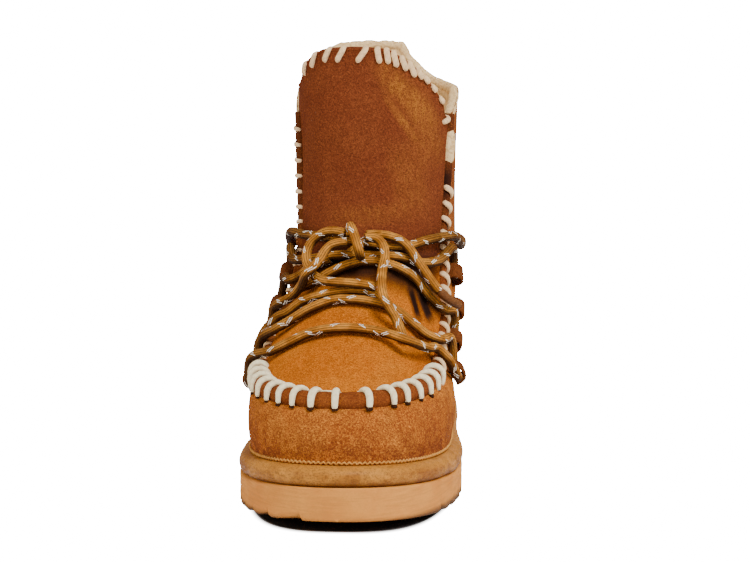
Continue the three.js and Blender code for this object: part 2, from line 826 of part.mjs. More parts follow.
// The wrap round the ankle: heights above the floor at its front, its sides and its back.
const wrap = { medial: 120.5, front: 119, lateral: 119, back: 111 };

function laceWrap() {
  const front = [
    { x: -26, z: wrap.medial, lift: 0.3 },
    { x: -12, z: wrap.front + 1, lift: 0.3 },
    { x: 4, z: wrap.front - 1, lift: 0.3 },
    { x: 20, z: wrap.front - 3, lift: 0.3 },
    { x: 32, z: wrap.lateral },
  ];
  const round = (side) => [0.5, 0.66, 0.8, 0.9, 0.97].map((along) => roundShaft(side, along, wrap.back));
  const points = [
    ...front.map(overFront),
    overSeam(LATERAL, seamPlace(wrap.lateral)),
    ...round(LATERAL),
    roundShaft(LATERAL, 1, wrap.back),
    ...round(MEDIAL).reverse(),
    overSeam(MEDIAL, seamPlace(wrap.medial)),
    overFront(front[0]),
  ];
  return cord(points, barPace);
}

function lace() {
  return bars.map(laceBar).reduce((whole, bar) => whole.add(bar), laceWrap());
}

// The free cords: a bow loop whose end lies over the front, the two ends and the knot over them.
const freeCords = {
  bow_loop_medial: [
    { x: -4.1, z: 119.5, lift: 6 },
    { x: -6.4, z: 120.3, lift: 6 },
    { x: -9, z: 120.8, lift: 6 },
    { x: -12, z: 120.4, lift: 6 },
    { x: -15, z: 118.6, lift: 6 },
    { x: -17.8, z: 115.6, lift: 6 },
    { x: -19.5, z: 112, lift: 6 },
    { x: -20, z: 108.5, lift: 6 },
    { x: -19.5, z: 104.5, lift: 6 },
    { x: -18, z: 101, lift: 5.8 },
    { x: -15.5, z: 98.5, lift: 5.6 },
    { x: -12.5, z: 97.2, lift: 5.4 },
    { x: -9, z: 96.8, lift: 5.4 },
    { x: -5.5, z: 96.7, lift: 5.4 },
    { x: -2, z: 96.6, lift: 5.4 },
    { x: 2, z: 96.3, lift: 5.4 },
    { x: 6, z: 95.8, lift: 5.4 },
    { x: 9.5, z: 95, lift: 5.4 },
  ],
  lace_end_lateral: [
    { x: 4.6, z: 118.8, lift: 6 },
    { x: 7.5, z: 119.2, lift: 5.8 },
    { x: 11.5, z: 119, lift: 5.6 },
    { x: 15.5, z: 118, lift: 5.6 },
    { x: 19, z: 115.8, lift: 6 },
    { x: 22, z: 112.5, lift: 5.6 },
    { x: 24.3, z: 108.5, lift: 5.7 },
    { x: 26.5, z: 104.2, lift: 6.2 },
    { x: 28.7, z: 100, lift: 6.5 },
    { x: 31, z: 96, lift: 6.8 },
    { x: 33.3, z: 92.5, lift: 7 },
    { x: 35.8, z: 89.5, lift: 7.3 },
    { x: 38.4, z: 87, lift: 7.7 },
    { x: 41, z: 84.8, lift: 8.2 },
  ],
  lace_end_front: [
    { x: 4.4, z: 114.4, lift: 10.6 },
    { x: 6.8, z: 115, lift: 10.5 },
    { x: 9.1, z: 114.4, lift: 10.2 },
    { x: 10.9, z: 112.5, lift: 9.6 },
    { x: 11.9, z: 109.8, lift: 8.9 },
    { x: 12.2, z: 106.5, lift: 8.5 },
    { x: 11.5, z: 102, lift: 9.5 },
    { x: 11, z: 97, lift: 10.9 },
    { x: 11.3, z: 92, lift: 10.6 },
    { x: 12.8, z: 88.2, lift: 8.5 },
    { x: 15.2, z: 86, lift: 6.4 },
    { x: 18.5, z: 83.5, lift: 3.5 },
    { x: 21.5, z: 80.5, lift: 1.2 },
    { x: 24.6, z: 76, lift: -0.6 },
  ],
  lace_knot: [
    { x: -2.2, z: 118.4, lift: 5.6 },
    { x: -2.2, z: 120.4, lift: 7 },
    { x: -1.8, z: 121, lift: 9.8 },
    { x: -1.2, z: 119.6, lift: 12.2 },
    { x: -0.4, z: 117, lift: 13.5 },
    { x: 0.5, z: 114, lift: 13.8 },
    { x: 1.4, z: 111, lift: 13.2 },
    { x: 2.1, z: 108.6, lift: 11.2 },
    { x: 2.5, z: 107.8, lift: 8.1 },
    { x: 2.5, z: 108.6, lift: 5.5 },
  ],
};

// An even stretch of a free cord's route, from one distance along it to another.
function stretch(curve, from, to) {
  const steps = 8;
  const place = (i) => lerp(from, to, i / steps) / curve.getLength();
  return Array.from({ length: steps + 1 }, (_, i) => curve.getPointAt(place(i)));
}

// The stiff tip on the outer end takes up the end of its route.
const tipLength = 15;
const cordRoutes = Object.fromEntries(
  Object.entries(freeCords).map(([name, rows]) => [name, rows.map(overFront)]),
);
const lateralCurve = cordCurve(cordRoutes.lace_end_lateral);
const lateralLength = lateralCurve.getLength();
cordRoutes.lace_end_lateral = stretch(lateralCurve, 0, lateralLength - tipLength - gap * 2);
cordRoutes.lace_tip_lateral = stretch(lateralCurve, lateralLength - tipLength, lateralLength);

const group = new THREE.Group();

function addPart(name, solid, colour, roughness, metalness = 0) {
  const material = new THREE.MeshStandardMaterial({ color: colour, roughness, metalness });
  const mesh = new THREE.Mesh(geometryOf(solid), material);
  mesh.name = name;
  group.add(mesh);
}

addPart("outsole", outsole(), 0xc99a68, 0.8);
addPart("midsole", midsole(), 0xa8742e, 0.6);
addPart("insole", insole(), 0xd9c8a8, 0.95);
addPart("upper", upper(), 0xa5581f, 0.9);
addPart("tongue", tongue(), 0xa5581f, 0.9);

for (const side of [MEDIAL, LATERAL]) {
  loopPlaces.forEach((place, i) => {
    addPart(`lace_loop_${loopNames[side]}_${i + 1}`, laceLoop(side, place), 0xa5581f, 0.85);
  });
}
addPart("lace", lace(), 0x99602a, 0.6);
for (const [name, points] of Object.entries(cordRoutes)) addPart(name, cord(points), 0x99602a, 0.6);

export default group;
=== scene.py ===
import math

import bpy
import numpy as np
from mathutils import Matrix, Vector


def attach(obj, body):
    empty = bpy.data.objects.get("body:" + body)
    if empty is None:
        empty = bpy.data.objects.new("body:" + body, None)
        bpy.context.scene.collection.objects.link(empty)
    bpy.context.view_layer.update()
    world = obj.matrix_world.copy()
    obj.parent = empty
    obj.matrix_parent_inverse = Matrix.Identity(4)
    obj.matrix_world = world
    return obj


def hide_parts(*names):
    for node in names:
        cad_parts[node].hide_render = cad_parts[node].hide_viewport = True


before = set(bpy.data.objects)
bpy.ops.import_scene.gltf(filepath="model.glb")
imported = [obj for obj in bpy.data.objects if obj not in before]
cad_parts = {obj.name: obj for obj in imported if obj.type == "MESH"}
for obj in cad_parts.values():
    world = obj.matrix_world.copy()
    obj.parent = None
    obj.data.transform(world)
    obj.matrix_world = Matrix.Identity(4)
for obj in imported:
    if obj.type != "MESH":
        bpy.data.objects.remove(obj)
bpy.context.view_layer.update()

METRES = 0.001
LATERAL = 1
MEDIAL = -1

# Sizes shared with the part's source
SOLE_LENGTH = 276
BALL_WIDTH = 106
COLLAR_HEIGHT = 214
COLLAR_CORNER = 181
PANEL_HEIGHT = 216
WALL = 3.6
OUTSOLE_HEIGHT = 16
MIDSOLE_HEIGHT = 10
INSOLE_HEIGHT = 5
HEEL_LIFT = 7
TOE_SPRING = 6
HEEL_SHIFT = 4.5
GAP = 0.35
LACE_DIAMETER = 4.8
SEAM_RADIUS_TOE = 4.6
SEAM_RADIUS_SHAFT = 2.9
SEAM_SINK = 0.35
LUG_DEPTH = 3
LUG_PITCH = 13.2
LUG_SLOPE = 9.5
SOLE_EDGE = 1.4
ARCH_RISE = 2.2
HEEL_END_RISE = 3
LOOP_WIDTH = 8
LOOP_STRAP = 1.7
LOOP_PLAY = 1.4
LOOP_SLACK = 0.5
BED_HEIGHT = OUTSOLE_HEIGHT + MIDSOLE_HEIGHT
SEAM_TOP = COLLAR_CORNER + 1.5


# Small helpers
def smoothstep(x, low, high):
    t = np.clip((x - low) / (high - low), 0, 1)
    return t * t * (3 - 2 * t)


def mix(a, b, t):
    return a + (b - a) * t


def bell(x):
    return np.exp(-(x**2))


def eased(count):
    """Shares from 0 to 1, close together at both ends."""
    return (1 - np.cos(np.linspace(0, math.pi, count))) / 2


def unit(v):
    return v / np.maximum(np.linalg.norm(v, axis=-1, keepdims=True), 1e-12)


def lengths_along(points):
    steps = np.linalg.norm(np.diff(points, axis=0), axis=-1)
    return np.concatenate([steps[:1] * 0, np.cumsum(steps, axis=0)])


def rows_at(goal, along, rows):
    """A table's rows, read between its lines."""
    return np.stack([np.interp(goal, along, column) for column in rows.T], axis=-1)


def resample(points, count):
    """count points spaced evenly along a polyline."""
    along = lengths_along(points)
    return rows_at(np.linspace(0, along[-1], count), along, points)


def halved(shape, low, high, below, steps):
    """Where below(x) turns false between low and high."""
    low, high = np.full(shape, float(low)), np.full(shape, float(high))
    for _ in range(steps):
        middle = (low + high) / 2
        under = below(middle)
        low = np.where(under, middle, low)
        high = np.where(under, high, middle)
    return low


def slanted(a, b, slant):
    """Distances along and beside a line that slants by so many degrees."""
    turn = math.radians(slant)
    return a * math.cos(turn) + b * math.sin(turn), b * math.cos(turn) - a * math.sin(turn)


def spline(points, per_span=24):
    """A centripetal Catmull-Rom curve through points, as a dense polyline."""
    p = np.asarray(points, float)
    p = np.vstack([2 * p[0] - p[1], p, 2 * p[-1] - p[-2]])
    gaps = np.maximum(np.linalg.norm(np.diff(p, axis=0), axis=1), 1e-8)[:, None] ** 0.5
    p0, p1, p2, p3 = p[:-3], p[1:-2], p[2:-1], p[3:]
    d0, d1, d2 = gaps[:-2], gaps[1:-1], gaps[2:]
    t1 = ((p1 - p0) / d0 - (p2 - p0) / (d0 + d1) + (p2 - p1) / d1) * d1
    t2 = ((p2 - p1) / d1 - (p3 - p1) / (d1 + d2) + (p3 - p2) / d2) * d1
    t = np.linspace(0, 1, per_span, endpoint=False)[:, None, None]
    curve = p1 + t1 * t + (3 * (p2 - p1) - 2 * t1 - t2) * t**2 + (2 * (p1 - p2) + t1 + t2) * t**3
    return np.vstack([curve.swapaxes(0, 1).reshape(-1, p.shape[1]), p[-2:-1]])


def stacked(*axes):
    """Points from arrays of x, y and z."""
    return np.stack(np.broadcast_arrays(*axes), axis=-1)


def undulation(p, size, seed):
    """A gentle, smooth unevenness from -1 to 1, with waves of about `size` millimetres."""
    rng = np.random.default_rng(seed)
    total = np.zeros(p.shape[:-1])
    for _ in range(7):
        wave = unit(rng.normal(size=3)) * 2 * math.pi / (size * rng.uniform(0.7, 1.5))
        total += np.sin(p @ wave + rng.uniform(0, 2 * math.pi))
    return total / 3.2


# The sole's and the upper's shape, as in the part's source
def toe_lift(y):
    return TOE_SPRING * np.clip((-0.2 - y / SOLE_LENGTH) / 0.3, 0, 1) ** 1.6


def bed_lift(y):
    return toe_lift(y) + HEEL_LIFT * smoothstep(y / SOLE_LENGTH, -0.08, 0.3)


def tread_height(y):
    arch = np.sin(math.pi * np.clip((y / SOLE_LENGTH - 0.02) / 0.16, 0, 1))
    heel_end = smoothstep(y / SOLE_LENGTH, 0.43, 0.52)
    return toe_lift(y) + ARCH_RISE * arch**2 + HEEL_END_RISE * heel_end


def foot_centre(y):
    return HEEL_SHIFT * smoothstep(y / SOLE_LENGTH, -0.16, 0.12)


def outline_point(form, side, along):
    """(x, y) on a foot-shaped outline by its share of the outline's length."""
    to_heel = smoothstep(along, 0.6, 0.86)
    width = mix(mix(form["ball"], form["waist"], smoothstep(along, 0.34, 0.6)), form["heel"], to_heel)
    nose = form["nose"] * mix(1, np.where(side > 0, 1.06, 0.93), form["skew"])
    power = form["square"]
    front = np.clip(1 - along / nose, 0, 1)
    rear = np.clip(1 - (1 - along) / form["tail"], 0, 1)
    width = width * (1 - front**power) ** (1 / power) * (1 - rear**power) ** (1 / power)
    y = mix(form["front"], form["back"], along)
    centre = mix(HEEL_SHIFT, foot_centre(y), form["skew"]) + form["lean"] * (1 - to_heel)
    return centre + side * width, y


# Horizontal sections: the sole's, and the upper's from the foot bed to above the collar
COLUMNS = "rise front back ball waist heel nose tail square skew follow lean".split()
RISE = COLLAR_HEIGHT - BED_HEIGHT
UNITS = np.array([RISE, *[SOLE_LENGTH] * 2, *[BALL_WIDTH] * 3, *[1] * 5, BALL_WIDTH])
SOLE_FORM = dict(zip(COLUMNS, UNITS * [0, -0.5, 0.5, 0.511, 0.415, 0.375, 0.33, 0.2, 2.1, 1, 0, 0]))
SECTIONS = UNITS * [
    [0, -0.47, 0.482, 0.452, 0.372, 0.333, 0.3, 0.2, 2.1, 1, 1, 0],
    [0.05, -0.478, 0.487, 0.468, 0.385, 0.348, 0.3, 0.2, 2.1, 1, 0.95, 0],
    [0.105, -0.47, 0.488, 0.472, 0.392, 0.357, 0.31, 0.21, 2.1, 1, 0.8, 0],
    [0.149, -0.442, 0.486, 0.462, 0.392, 0.361, 0.32, 0.22, 2.1, 1, 0.65, -0.006],
    [0.182, -0.395, 0.484, 0.428, 0.382, 0.364, 0.36, 0.23, 2.05, 0.95, 0.5, -0.017],
    [0.21, -0.342, 0.482, 0.426, 0.388, 0.366, 0.4, 0.24, 2, 0.9, 0.4, -0.016],
    [0.242, -0.285, 0.479, 0.424, 0.394, 0.368, 0.43, 0.26, 2, 0.8, 0.3, -0.015],
    [0.281, -0.222, 0.476, 0.419, 0.398, 0.371, 0.455, 0.28, 2, 0.65, 0.22, -0.01],
    [0.33, -0.158, 0.471, 0.412, 0.4, 0.374, 0.48, 0.31, 2, 0.5, 0.15, -0.004],
    [0.39, -0.095, 0.465, 0.398, 0.393, 0.377, 0.5, 0.34, 2, 0.3, 0.08, 0],
    [0.455, -0.042, 0.46, 0.386, 0.385, 0.38, 0.5, 0.39, 2.1, 0.1, 0.03, 0],
    [0.526, 0, 0.457, 0.384, 0.384, 0.384, 0.5, 0.44, 2.2, 0, 0, 0],
    [0.608, 0.028, 0.455, 0.388, 0.388, 0.388, 0.5, 0.5, 2.3, 0, 0, 0],
    [0.744, 0.046, 0.455, 0.393, 0.393, 0.393, 0.5, 0.5, 2.35, 0, 0, 0],
    [0.88, 0.057, 0.457, 0.398, 0.398, 0.398, 0.5, 0.5, 2.4, 0, 0, 0],
    [1.06, 0.068, 0.463, 0.404, 0.404, 0.404, 0.5, 0.5, 2.4, 0, 0, 0],
]
SECTIONS[:, 0] += BED_HEIGHT + GAP
LAST = len(SECTIONS) - 1


def form_at(at):
    """The section at a place in the table, between its rows."""
    at = np.asarray(at, float)
    row = np.clip(np.floor(at).astype(int), 0, LAST - 1)
    t = (at - row)[..., None]
    a, b, c, d = [SECTIONS[np.clip(row + k, 0, LAST)] for k in (-1, 0, 1, 2)]
    form = b + ((c - a) * t + (2 * a - 5 * b + 4 * c - d) * t**2 + (3 * b - a - 3 * c + d) * t**3) / 2
    return dict(zip(COLUMNS, np.moveaxis(form, -1, 0)))


def upper_point(at, side, along):
    form = form_at(at)
    x, y = outline_point(form, side, along)
    return stacked(x, y, form["rise"] + form["follow"] * bed_lift(y))


def upper_frame(at, side, along):
    """The outside's points and outward normals."""
    at, side, along = np.broadcast_arrays(*[np.asarray(v, float) for v in (at, side, along)])
    step = np.clip(np.minimum(along, 1 - along) / 2, 2e-6, 0.004)
    near = np.clip(along, step, 1 - step)
    upward = upper_point(np.minimum(at + 0.004, LAST), side, near)
    upward = upward - upper_point(np.maximum(at - 0.004, 0), side, near)
    onward = upper_point(at, side, near + step) - upper_point(at, side, near - step)
    return upper_point(at, side, along), unit(np.cross(onward, upward)) * side[..., None]


def place_at(side, y, z):
    """(place in the table, share along) of the outside's point at y and z."""
    side, y, z = np.broadcast_arrays(*[np.asarray(v, float) for v in (side, y, z)])

    def below(at):
        form = form_at(at)
        return form["rise"] + form["follow"] * bed_lift(y) < z

    at = halved(y.shape, 0, LAST, below, 40)
    form = form_at(at)
    return at, np.clip((y - form["front"]) / (form["back"] - form["front"]), 0, 1)


def upper_at(side, y, z):
    at, along = place_at(side, y, z)
    return upper_frame(at, side, along)


def front_at(x, z):
    """The outside's point and normal on the front, by distance from the middle and height."""
    x, z = np.broadcast_arrays(np.asarray(x, float), np.asarray(z, float))
    side = np.where(x < upper_at(LATERAL, -SOLE_LENGTH / 2, z)[0][..., 0], MEDIAL, LATERAL)

    def inside(y):
        return side * upper_at(side, y, z)[0][..., 0] < side * x

    return upper_at(side, halved(x.shape, -SOLE_LENGTH / 2, SOLE_LENGTH * 0.22, inside, 30), z)


# The throat's edge in side view: (share of the sole's length, height above the foot bed)
THROAT_LINE = [
    (-0.44, 33), (-0.3, 33.4), (-0.2, 35), (-0.12, 39.4), (-0.04, 50), (0.03, 66),
    (0.09, 86), (0.132, 108), (0.153, 132), (0.165, 158), (0.172, 200),
]
THROAT = resample(spline([(y * SOLE_LENGTH, BED_HEIGHT + z) for y, z in THROAT_LINE], 60), 900)


def throat_at(share):
    """(y, z) and direction at shares of the throat line's length."""
    index = np.linspace(0, 1, len(THROAT))
    return rows_at(share, index, THROAT), rows_at(share, index, unit(np.gradient(THROAT, axis=0)))


def edge_places(side, height):
    """The throat's edge on one side from the toe to a height: places, shares, points, normals."""
    line = THROAT[THROAT[:, 1] <= height]
    at, along = place_at(side, line[:, 0], line[:, 1])
    start = np.flatnonzero(along <= 0).max()
    at, along = at[start:], along[start:]
    return at, along, *upper_frame(at, side, along)


# Meshes, as (points, faces, corner UVs)
def mesh_piece(name, parts, shader, node=None):
    """An object from a mesh in millimetres, which rides on the boot and stands for a CAD node."""
    points, faces, uvs = parts
    mesh = bpy.data.meshes.new(name)
    mesh.from_pydata((points * METRES).tolist(), [], faces.tolist())
    mesh.uv_layers.new(name="UVMap").data.foreach_set("uv", uvs.astype(np.float32).ravel())
    mesh.polygons.foreach_set("use_smooth", [True] * len(mesh.polygons))
    mesh.materials.append(shader.material)
    mesh.update()
    piece = bpy.data.objects.new(name, mesh)
    bpy.context.scene.collection.objects.link(piece)
    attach(piece, "root")
    if node:
        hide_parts(node)
    return piece


def grid(points, closed=False, flip=False):
    """Quads over a grid of points [row, column]. UVs are row and column."""
    rows, columns = points.shape[:2]
    i, j = np.meshgrid(np.arange(rows - 1), np.arange(columns if closed else columns - 1), indexing="ij")
    after = (j + 1) % columns
    corners = [(i, j, j), (i, after, j + 1), (i + 1, after, j + 1), (i + 1, j, j)]
    if flip:
        corners.reverse()
    faces = np.stack([r * columns + c for r, c, _ in corners], axis=-1).reshape(-1, 4)
    uvs = np.stack([np.stack([r, c], axis=-1) for r, _, c in corners], axis=2).reshape(-1, 2)
    return points.reshape(-1, 3), faces, uvs


def joined(parts):
    """Several meshes as one."""
    points, faces, uvs = zip(*parts)
    starts = np.cumsum([0] + [len(p) for p in points])
    return np.vstack(points), np.vstack([f + start for f, start in zip(faces, starts)]), np.vstack(uvs)


def sweep(centres, first, second, wide, high, sides, square=1.0):
    """A closed section swept along centres, with its axes and its half sizes along them: an ellipse,
    or a rounded oblong where square is below 1. UVs are millimetres along and turns round."""
    turn = np.linspace(0, 2 * math.pi, sides, endpoint=False)
    rings = centres[:, None]
    for axis, size, corner in ((first, wide, np.cos(turn)), (second, high, np.sin(turn))):
        size = np.broadcast_to(size, len(centres))[:, None]
        corner = np.sign(corner) * np.abs(corner) ** square
        rings = rings + np.broadcast_to(axis, centres.shape)[:, None] * (size * corner)[..., None]
    rings = np.concatenate([rings[:1] * 0 + centres[0], rings, rings[:1] * 0 + centres[-1]])
    points, faces, uvs = grid(rings, closed=True)
    distance = lengths_along(centres)
    distance = np.concatenate([distance[:1], distance, distance[-1:]])
    return points, faces, np.column_stack([distance[uvs[:, 0]], uvs[:, 1] / sides])


def round_tube(points, radius, sides=20):
    """A round tube, without twist. radius is one number or one for each point."""
    tangent = unit(np.gradient(points, axis=0))
    helper = np.array([0, 0, 1.0]) if abs(tangent[0, 2]) < 0.9 else np.array([1.0, 0, 0])
    first = [unit(np.cross(tangent[0], helper))]
    for t in tangent[1:]:
        first.append(unit(first[-1] - t * np.dot(first[-1], t)))
    return sweep(points, np.array(first), np.cross(tangent, first), radius, radius, sides)


def woolly(parts, way, size, seed):
    """A mesh made softly uneven along `way`, in waves of about `size` millimetres."""
    points, *rest = parts
    return points + undulation(points, size, seed)[:, None] * way, *rest


# Materials
class Shader:
    """A principled material with a few short words for its nodes."""

    def __init__(self, name, rough, specular):
        self.material = bpy.data.materials.new(name)
        self.material.use_nodes = True
        self.tree = self.material.node_tree
        self.surface = self.tree.nodes["Principled BSDF"].inputs
        self.show(rough, "Roughness")
        self.show(specular, "Specular IOR Level")
        self.places = self.tree.nodes.new("ShaderNodeTexCoord").outputs

    def put(self, target, value):
        if isinstance(value, bpy.types.NodeSocket):
            self.tree.links.new(value, target)
        else:
            target.default_value = (*value, 1) if target.type == "RGBA" else value

    def show(self, value, on="Base Color"):
        self.put(self.surface[on], value)

    def node(self, kind, inputs, output=0, **settings):
        node = self.tree.nodes.new("ShaderNode" + kind)
        for key, value in settings.items():
            setattr(node, key, value)
        for key, value in inputs.items():
            self.put(node.inputs[key], value)
        return node.outputs[output]

    def axis(self, name, of="Object"):
        return self.node("SeparateXYZ", {0: self.places[of]}, name)

    def noise(self, size, detail=3, rough=0.6, warp=0, scale=(1, 1, 1)):
        """Noise whose features are about `size` millimetres."""
        place = self.node("Mapping", {"Vector": self.places["Object"], "Scale": scale})
        inputs = {"Vector": place, "Scale": 1 / (size * METRES), "Detail": detail}
        return self.node("TexNoise", {**inputs, "Roughness": rough, "Distortion": warp})

    def math(self, operation, *values):
        return self.node("Math", dict(enumerate(values)), operation=operation)

    def times(self, first, *rest):
        for value in rest:
            first = self.math("MULTIPLY", first, value)
        return first

    def wave(self, value):
        """The size of the sine of so many half turns."""
        return self.math("ABSOLUTE", self.math("SINE", self.times(value, math.pi)))

    def ramp(self, value, low, high, start=0, end=1):
        inputs = {"Value": value, "From Min": low, "From Max": high, "To Min": start, "To Max": end}
        return self.node("MapRange", inputs, interpolation_type="SMOOTHSTEP")

    def facing_down(self, start, end):
        """0 where the upward share of the surface's normal is `start`, 1 where it is `end`."""
        return self.ramp(self.axis("Z", "Normal"), start, end)

    def layered(self, base, *layers):
        """A colour with others over it, each as (colour, share, factors of the share). A Mix node
        takes its colours by number."""
        for colour, *share in layers:
            base = self.node("Mix", {0: self.times(*share), 6: base, 7: colour}, 2, data_type="RGBA")
        return base

    def mask(self, x, z, slant, length, width, strength):
        """`strength` on a slanting streak at x and z millimetres on the front, fading to 0."""
        turn = math.radians(slant)
        across = self.math("SUBTRACT", self.axis("X"), x * METRES)
        upward = self.math("SUBTRACT", self.axis("Z"), z * METRES)
        along = self.math("MULTIPLY_ADD", upward, math.sin(turn), self.times(across, math.cos(turn)))
        beside = self.math("MULTIPLY_ADD", upward, math.cos(turn), self.times(across, -math.sin(turn)))
        far = self.ramp(self.math("ABSOLUTE", along), length * 0.3 * METRES, length * METRES, 1, 0)
        wide = self.ramp(self.math("ABSOLUTE", beside), width * 0.25 * METRES, width * METRES, 1, 0)
        return self.times(far, wide, strength)

    def bump(self, height, depth, strength):
        """Relief of `depth` millimetres from a height of 0 to 1, over what is there already."""
        target = self.surface["Normal"]
        inputs = {"Strength": strength, "Distance": depth * METRES, "Height": height}
        if target.is_linked:
            inputs["Normal"] = target.links[0].from_socket
        self.put(target, self.node("Bump", inputs))


# Where the suede is brushed lighter: across, height, slant in degrees, length, width and strength
SCUFFED = (0.56, 0.21, 0.03)
SCUFFS = [
    (15, 201, -62, 14, 9, 0.35), (25, 190, -52, 22, 8, 0.5), (20, 181, -56, 18, 3, 0.55),
    (31, 178, -72, 30, 10, 0.35), (24, 150, -80, 26, 12, 0.25), (4, 133, 4, 26, 7, 0.25),
    (18, 66, 40, 12, 7, 0.35), (-22, 46, -20, 26, 9, 0.25),
]
# Painted shade: where the suede is painted dark in the folds and gaps under the lace, and on the roll
# below the fleece
FOLD_SHADE = (0.018, 0.007, 0.005)
SHADE_UNDER_LACE = [
    (-2, 110, 4, 26, 13, 0.95), (26, 106, -24, 22, 14, 0.95), (33, 100, -60, 12, 5, 0.8),
    (29.1, 91.8, -69, 12, 2.2, 1), (34.4, 89.5, -65, 11, 2.1, 1), (36, 92, -67, 13, 8, 0.6),
    (-27, 103, 40, 16, 8, 0.7),
]
ROLL_SHADE = [(38, 146, 90, 10, 12, 0.95)]


def suede(name, colours, nap=1.0, mottle=1.0, scuffs=(), shade_marks=(), underside_shade=0, rust=None, shaft=None):
    """Napped suede: soft mottling, brushed streaks and a fine speckled fibre. `rust` is the colour
    of the worn band above the sole, `shaft` that further up, `underside_shade` how strong the
    painted shade on the downward-facing side is, and `shade_marks` where painted shade lies in streaks."""
    dark, middle, light = colours
    s = Shader(name, 0.95, 0.06)
    streak = s.ramp(s.noise(2.6, scale=(1, 1, 0.4)), 0.36, 0.72)
    fibre = s.noise(0.9, 5, 0.8)
    layers = [
        (light, s.ramp(s.noise(30, 4, warp=0.4), 0.34, 0.66), 0.5 * mottle),
        (dark, s.ramp(s.noise(7, 4, 0.65), 0.36, 0.7), 0.4 * mottle),
        (light, streak, 0.25 * mottle),
    ]
    layers += [(SCUFFED, s.mask(*row), s.ramp(streak, 0, 1, 0.5)) for row in scuffs]
    if rust:
        worn = s.ramp(s.noise(9, 5, 0.7), 0.38, 0.6, 0.2)
        layers.append((rust, s.ramp(s.axis("Z"), 0.03, 0.058, 1, 0), worn, 0.85))
    if shaft:
        layers.append((shaft, s.ramp(s.axis("Z"), 0.1, 0.14, 0, 0.8)))
    # painted shade: darker where the surface faces downwards
    if underside_shade:
        layers.append((dark, s.facing_down(0.3, -0.6), underside_shade))
    layers += [
        (dark, s.ramp(fibre, 0.36, 0.62, 0.6 * nap, 0)),
        (light, s.ramp(fibre, 0.5, 0.68, 0, 0.6 * nap)),
        (dark, s.ramp(s.noise(0.42, 2, 0.5), 0.34, 0.52, 0.9 * nap, 0)),
    ]
    # painted shade in streaks, in the folds and gaps where shade falls
    layers += [(FOLD_SHADE, s.mask(*row), s.ramp(s.axis("Y"), 0.065, 0.045)) for row in shade_marks]
    s.show(s.layered(middle, *layers))
    s.bump(s.noise(1.8, 4), 0.25, 0.6)
    s.bump(fibre, 0.3, 0.7)
    return s


def fleece(name, dark, light):
    s = Shader(name, 0.98, 0.05)
    curl = s.noise(3.2, 4, 0.7, warp=1.2)
    tuft = s.noise(1.1, 4, 0.7)
    s.show(s.layered(dark, (light, s.ramp(curl, 0.35, 0.62)), (dark, s.ramp(tuft, 0.35, 0.55, 0.35, 0))))
    s.bump(curl, 0.48, 0.5)
    s.bump(tuft, 0.24, 0.7)
    return s


def yarn(name, dark, light):
    """Soft wool: loosely twisted plies under a felted nap. UVs run in millimetres and turns."""
    s = Shader(name, 0.97, 0.05)
    twist = s.math("MULTIPLY_ADD", s.axis("X", "UV"), 0.3, s.times(s.axis("Y", "UV"), 2))
    ply = s.wave(s.math("MULTIPLY_ADD", s.noise(2.4, 2, 0.55), 1.4, twist))
    hair = s.noise(0.6, 5, 0.8)
    felt = s.noise(1.6, 4, 0.7)
    tone = s.ramp(ply, 0, 0.55, 0.7), s.ramp(hair, 0.28, 0.52, 0.5), s.ramp(felt, 0.3, 0.5, 0.75)
    s.show(s.layered(dark, (light, *tone)))
    s.bump(ply, 0.22, 0.5)
    s.bump(felt, 0.5, 0.7)
    s.bump(hair, 0.4, 0.9)
    return s


# The lace's light threads: which way they wind, where round the cord, and where along it
FLECKS = [(1, 0.0, 0.0), (1, 0.07, 0.12), (-1, 0.42, 0.5), (-1, 0.49, 0.62)]
FLECK_WIND = 31
FLECK_EVERY = 8.5
FLECK_SHARE = 0.4
FLECK_HALF_WIDTH = 0.019
RIBS = 12


def braid(name, dark, base, light, fleck):
    """A braided cord: ribs along it with fine plaited beads, and pairs of slender light flecks.
    UVs run in millimetres along and turns round."""
    s = Shader(name, 0.65, 0.06)
    along = s.axis("X", "UV")
    turn = s.axis("Y", "UV")
    side = s.math("SIGN", s.math("SINE", s.times(turn, math.pi * RIBS)))
    bead = s.wave(s.math("MULTIPLY_ADD", along, 1.25, s.times(turn, RIBS, side)))
    weave = s.times(s.ramp(s.wave(s.times(turn, RIBS)), 0.05, 0.5), s.ramp(bead, 0, 0.6, 0.55))
    fuzz = s.noise(0.5, 3, 0.7)
    flecks = 0.0
    for winding, shift, start in FLECKS:
        place = s.math("MULTIPLY_ADD", along, winding / FLECK_WIND, turn)
        place = s.math("SUBTRACT", s.math("FRACT", s.math("ADD", place, shift + 20)), 0.5)
        thin = s.math("LESS_THAN", s.math("ABSOLUTE", place), FLECK_HALF_WIDTH)
        beat = s.math("FRACT", s.math("MULTIPLY_ADD", along, 1 / FLECK_EVERY, start + 20))
        flecks = s.math("MAXIMUM", flecks, s.times(thin, s.math("LESS_THAN", beat, FLECK_SHARE)))
    body = s.layered(
        base,
        (light, s.ramp(s.noise(9), 0.35, 0.65), 0.7),
        # painted shade: darker towards the inner side and towards the back, and on the cord's
        # downward-facing side
        (dark, s.ramp(s.axis("X"), -0.024, -0.046, 0, 0.5)),
        (dark, s.ramp(s.axis("Y"), -0.009, 0.012, 0, 0.6)),
        (dark, s.facing_down(0.2, -0.6), 0.92),
    )
    bright = s.layered(body, (fleck, s.ramp(bead, 0, 0.5)))
    woven = (body, s.ramp(weave, 0.1, 0.7)), (dark, s.ramp(fuzz, 0.3, 0.5, 0.3, 0))
    s.show(s.layered(dark, *woven, (bright, flecks)))
    s.bump(weave, 0.45, 0.9)
    s.bump(fuzz, 0.1, 0.5)
    return s


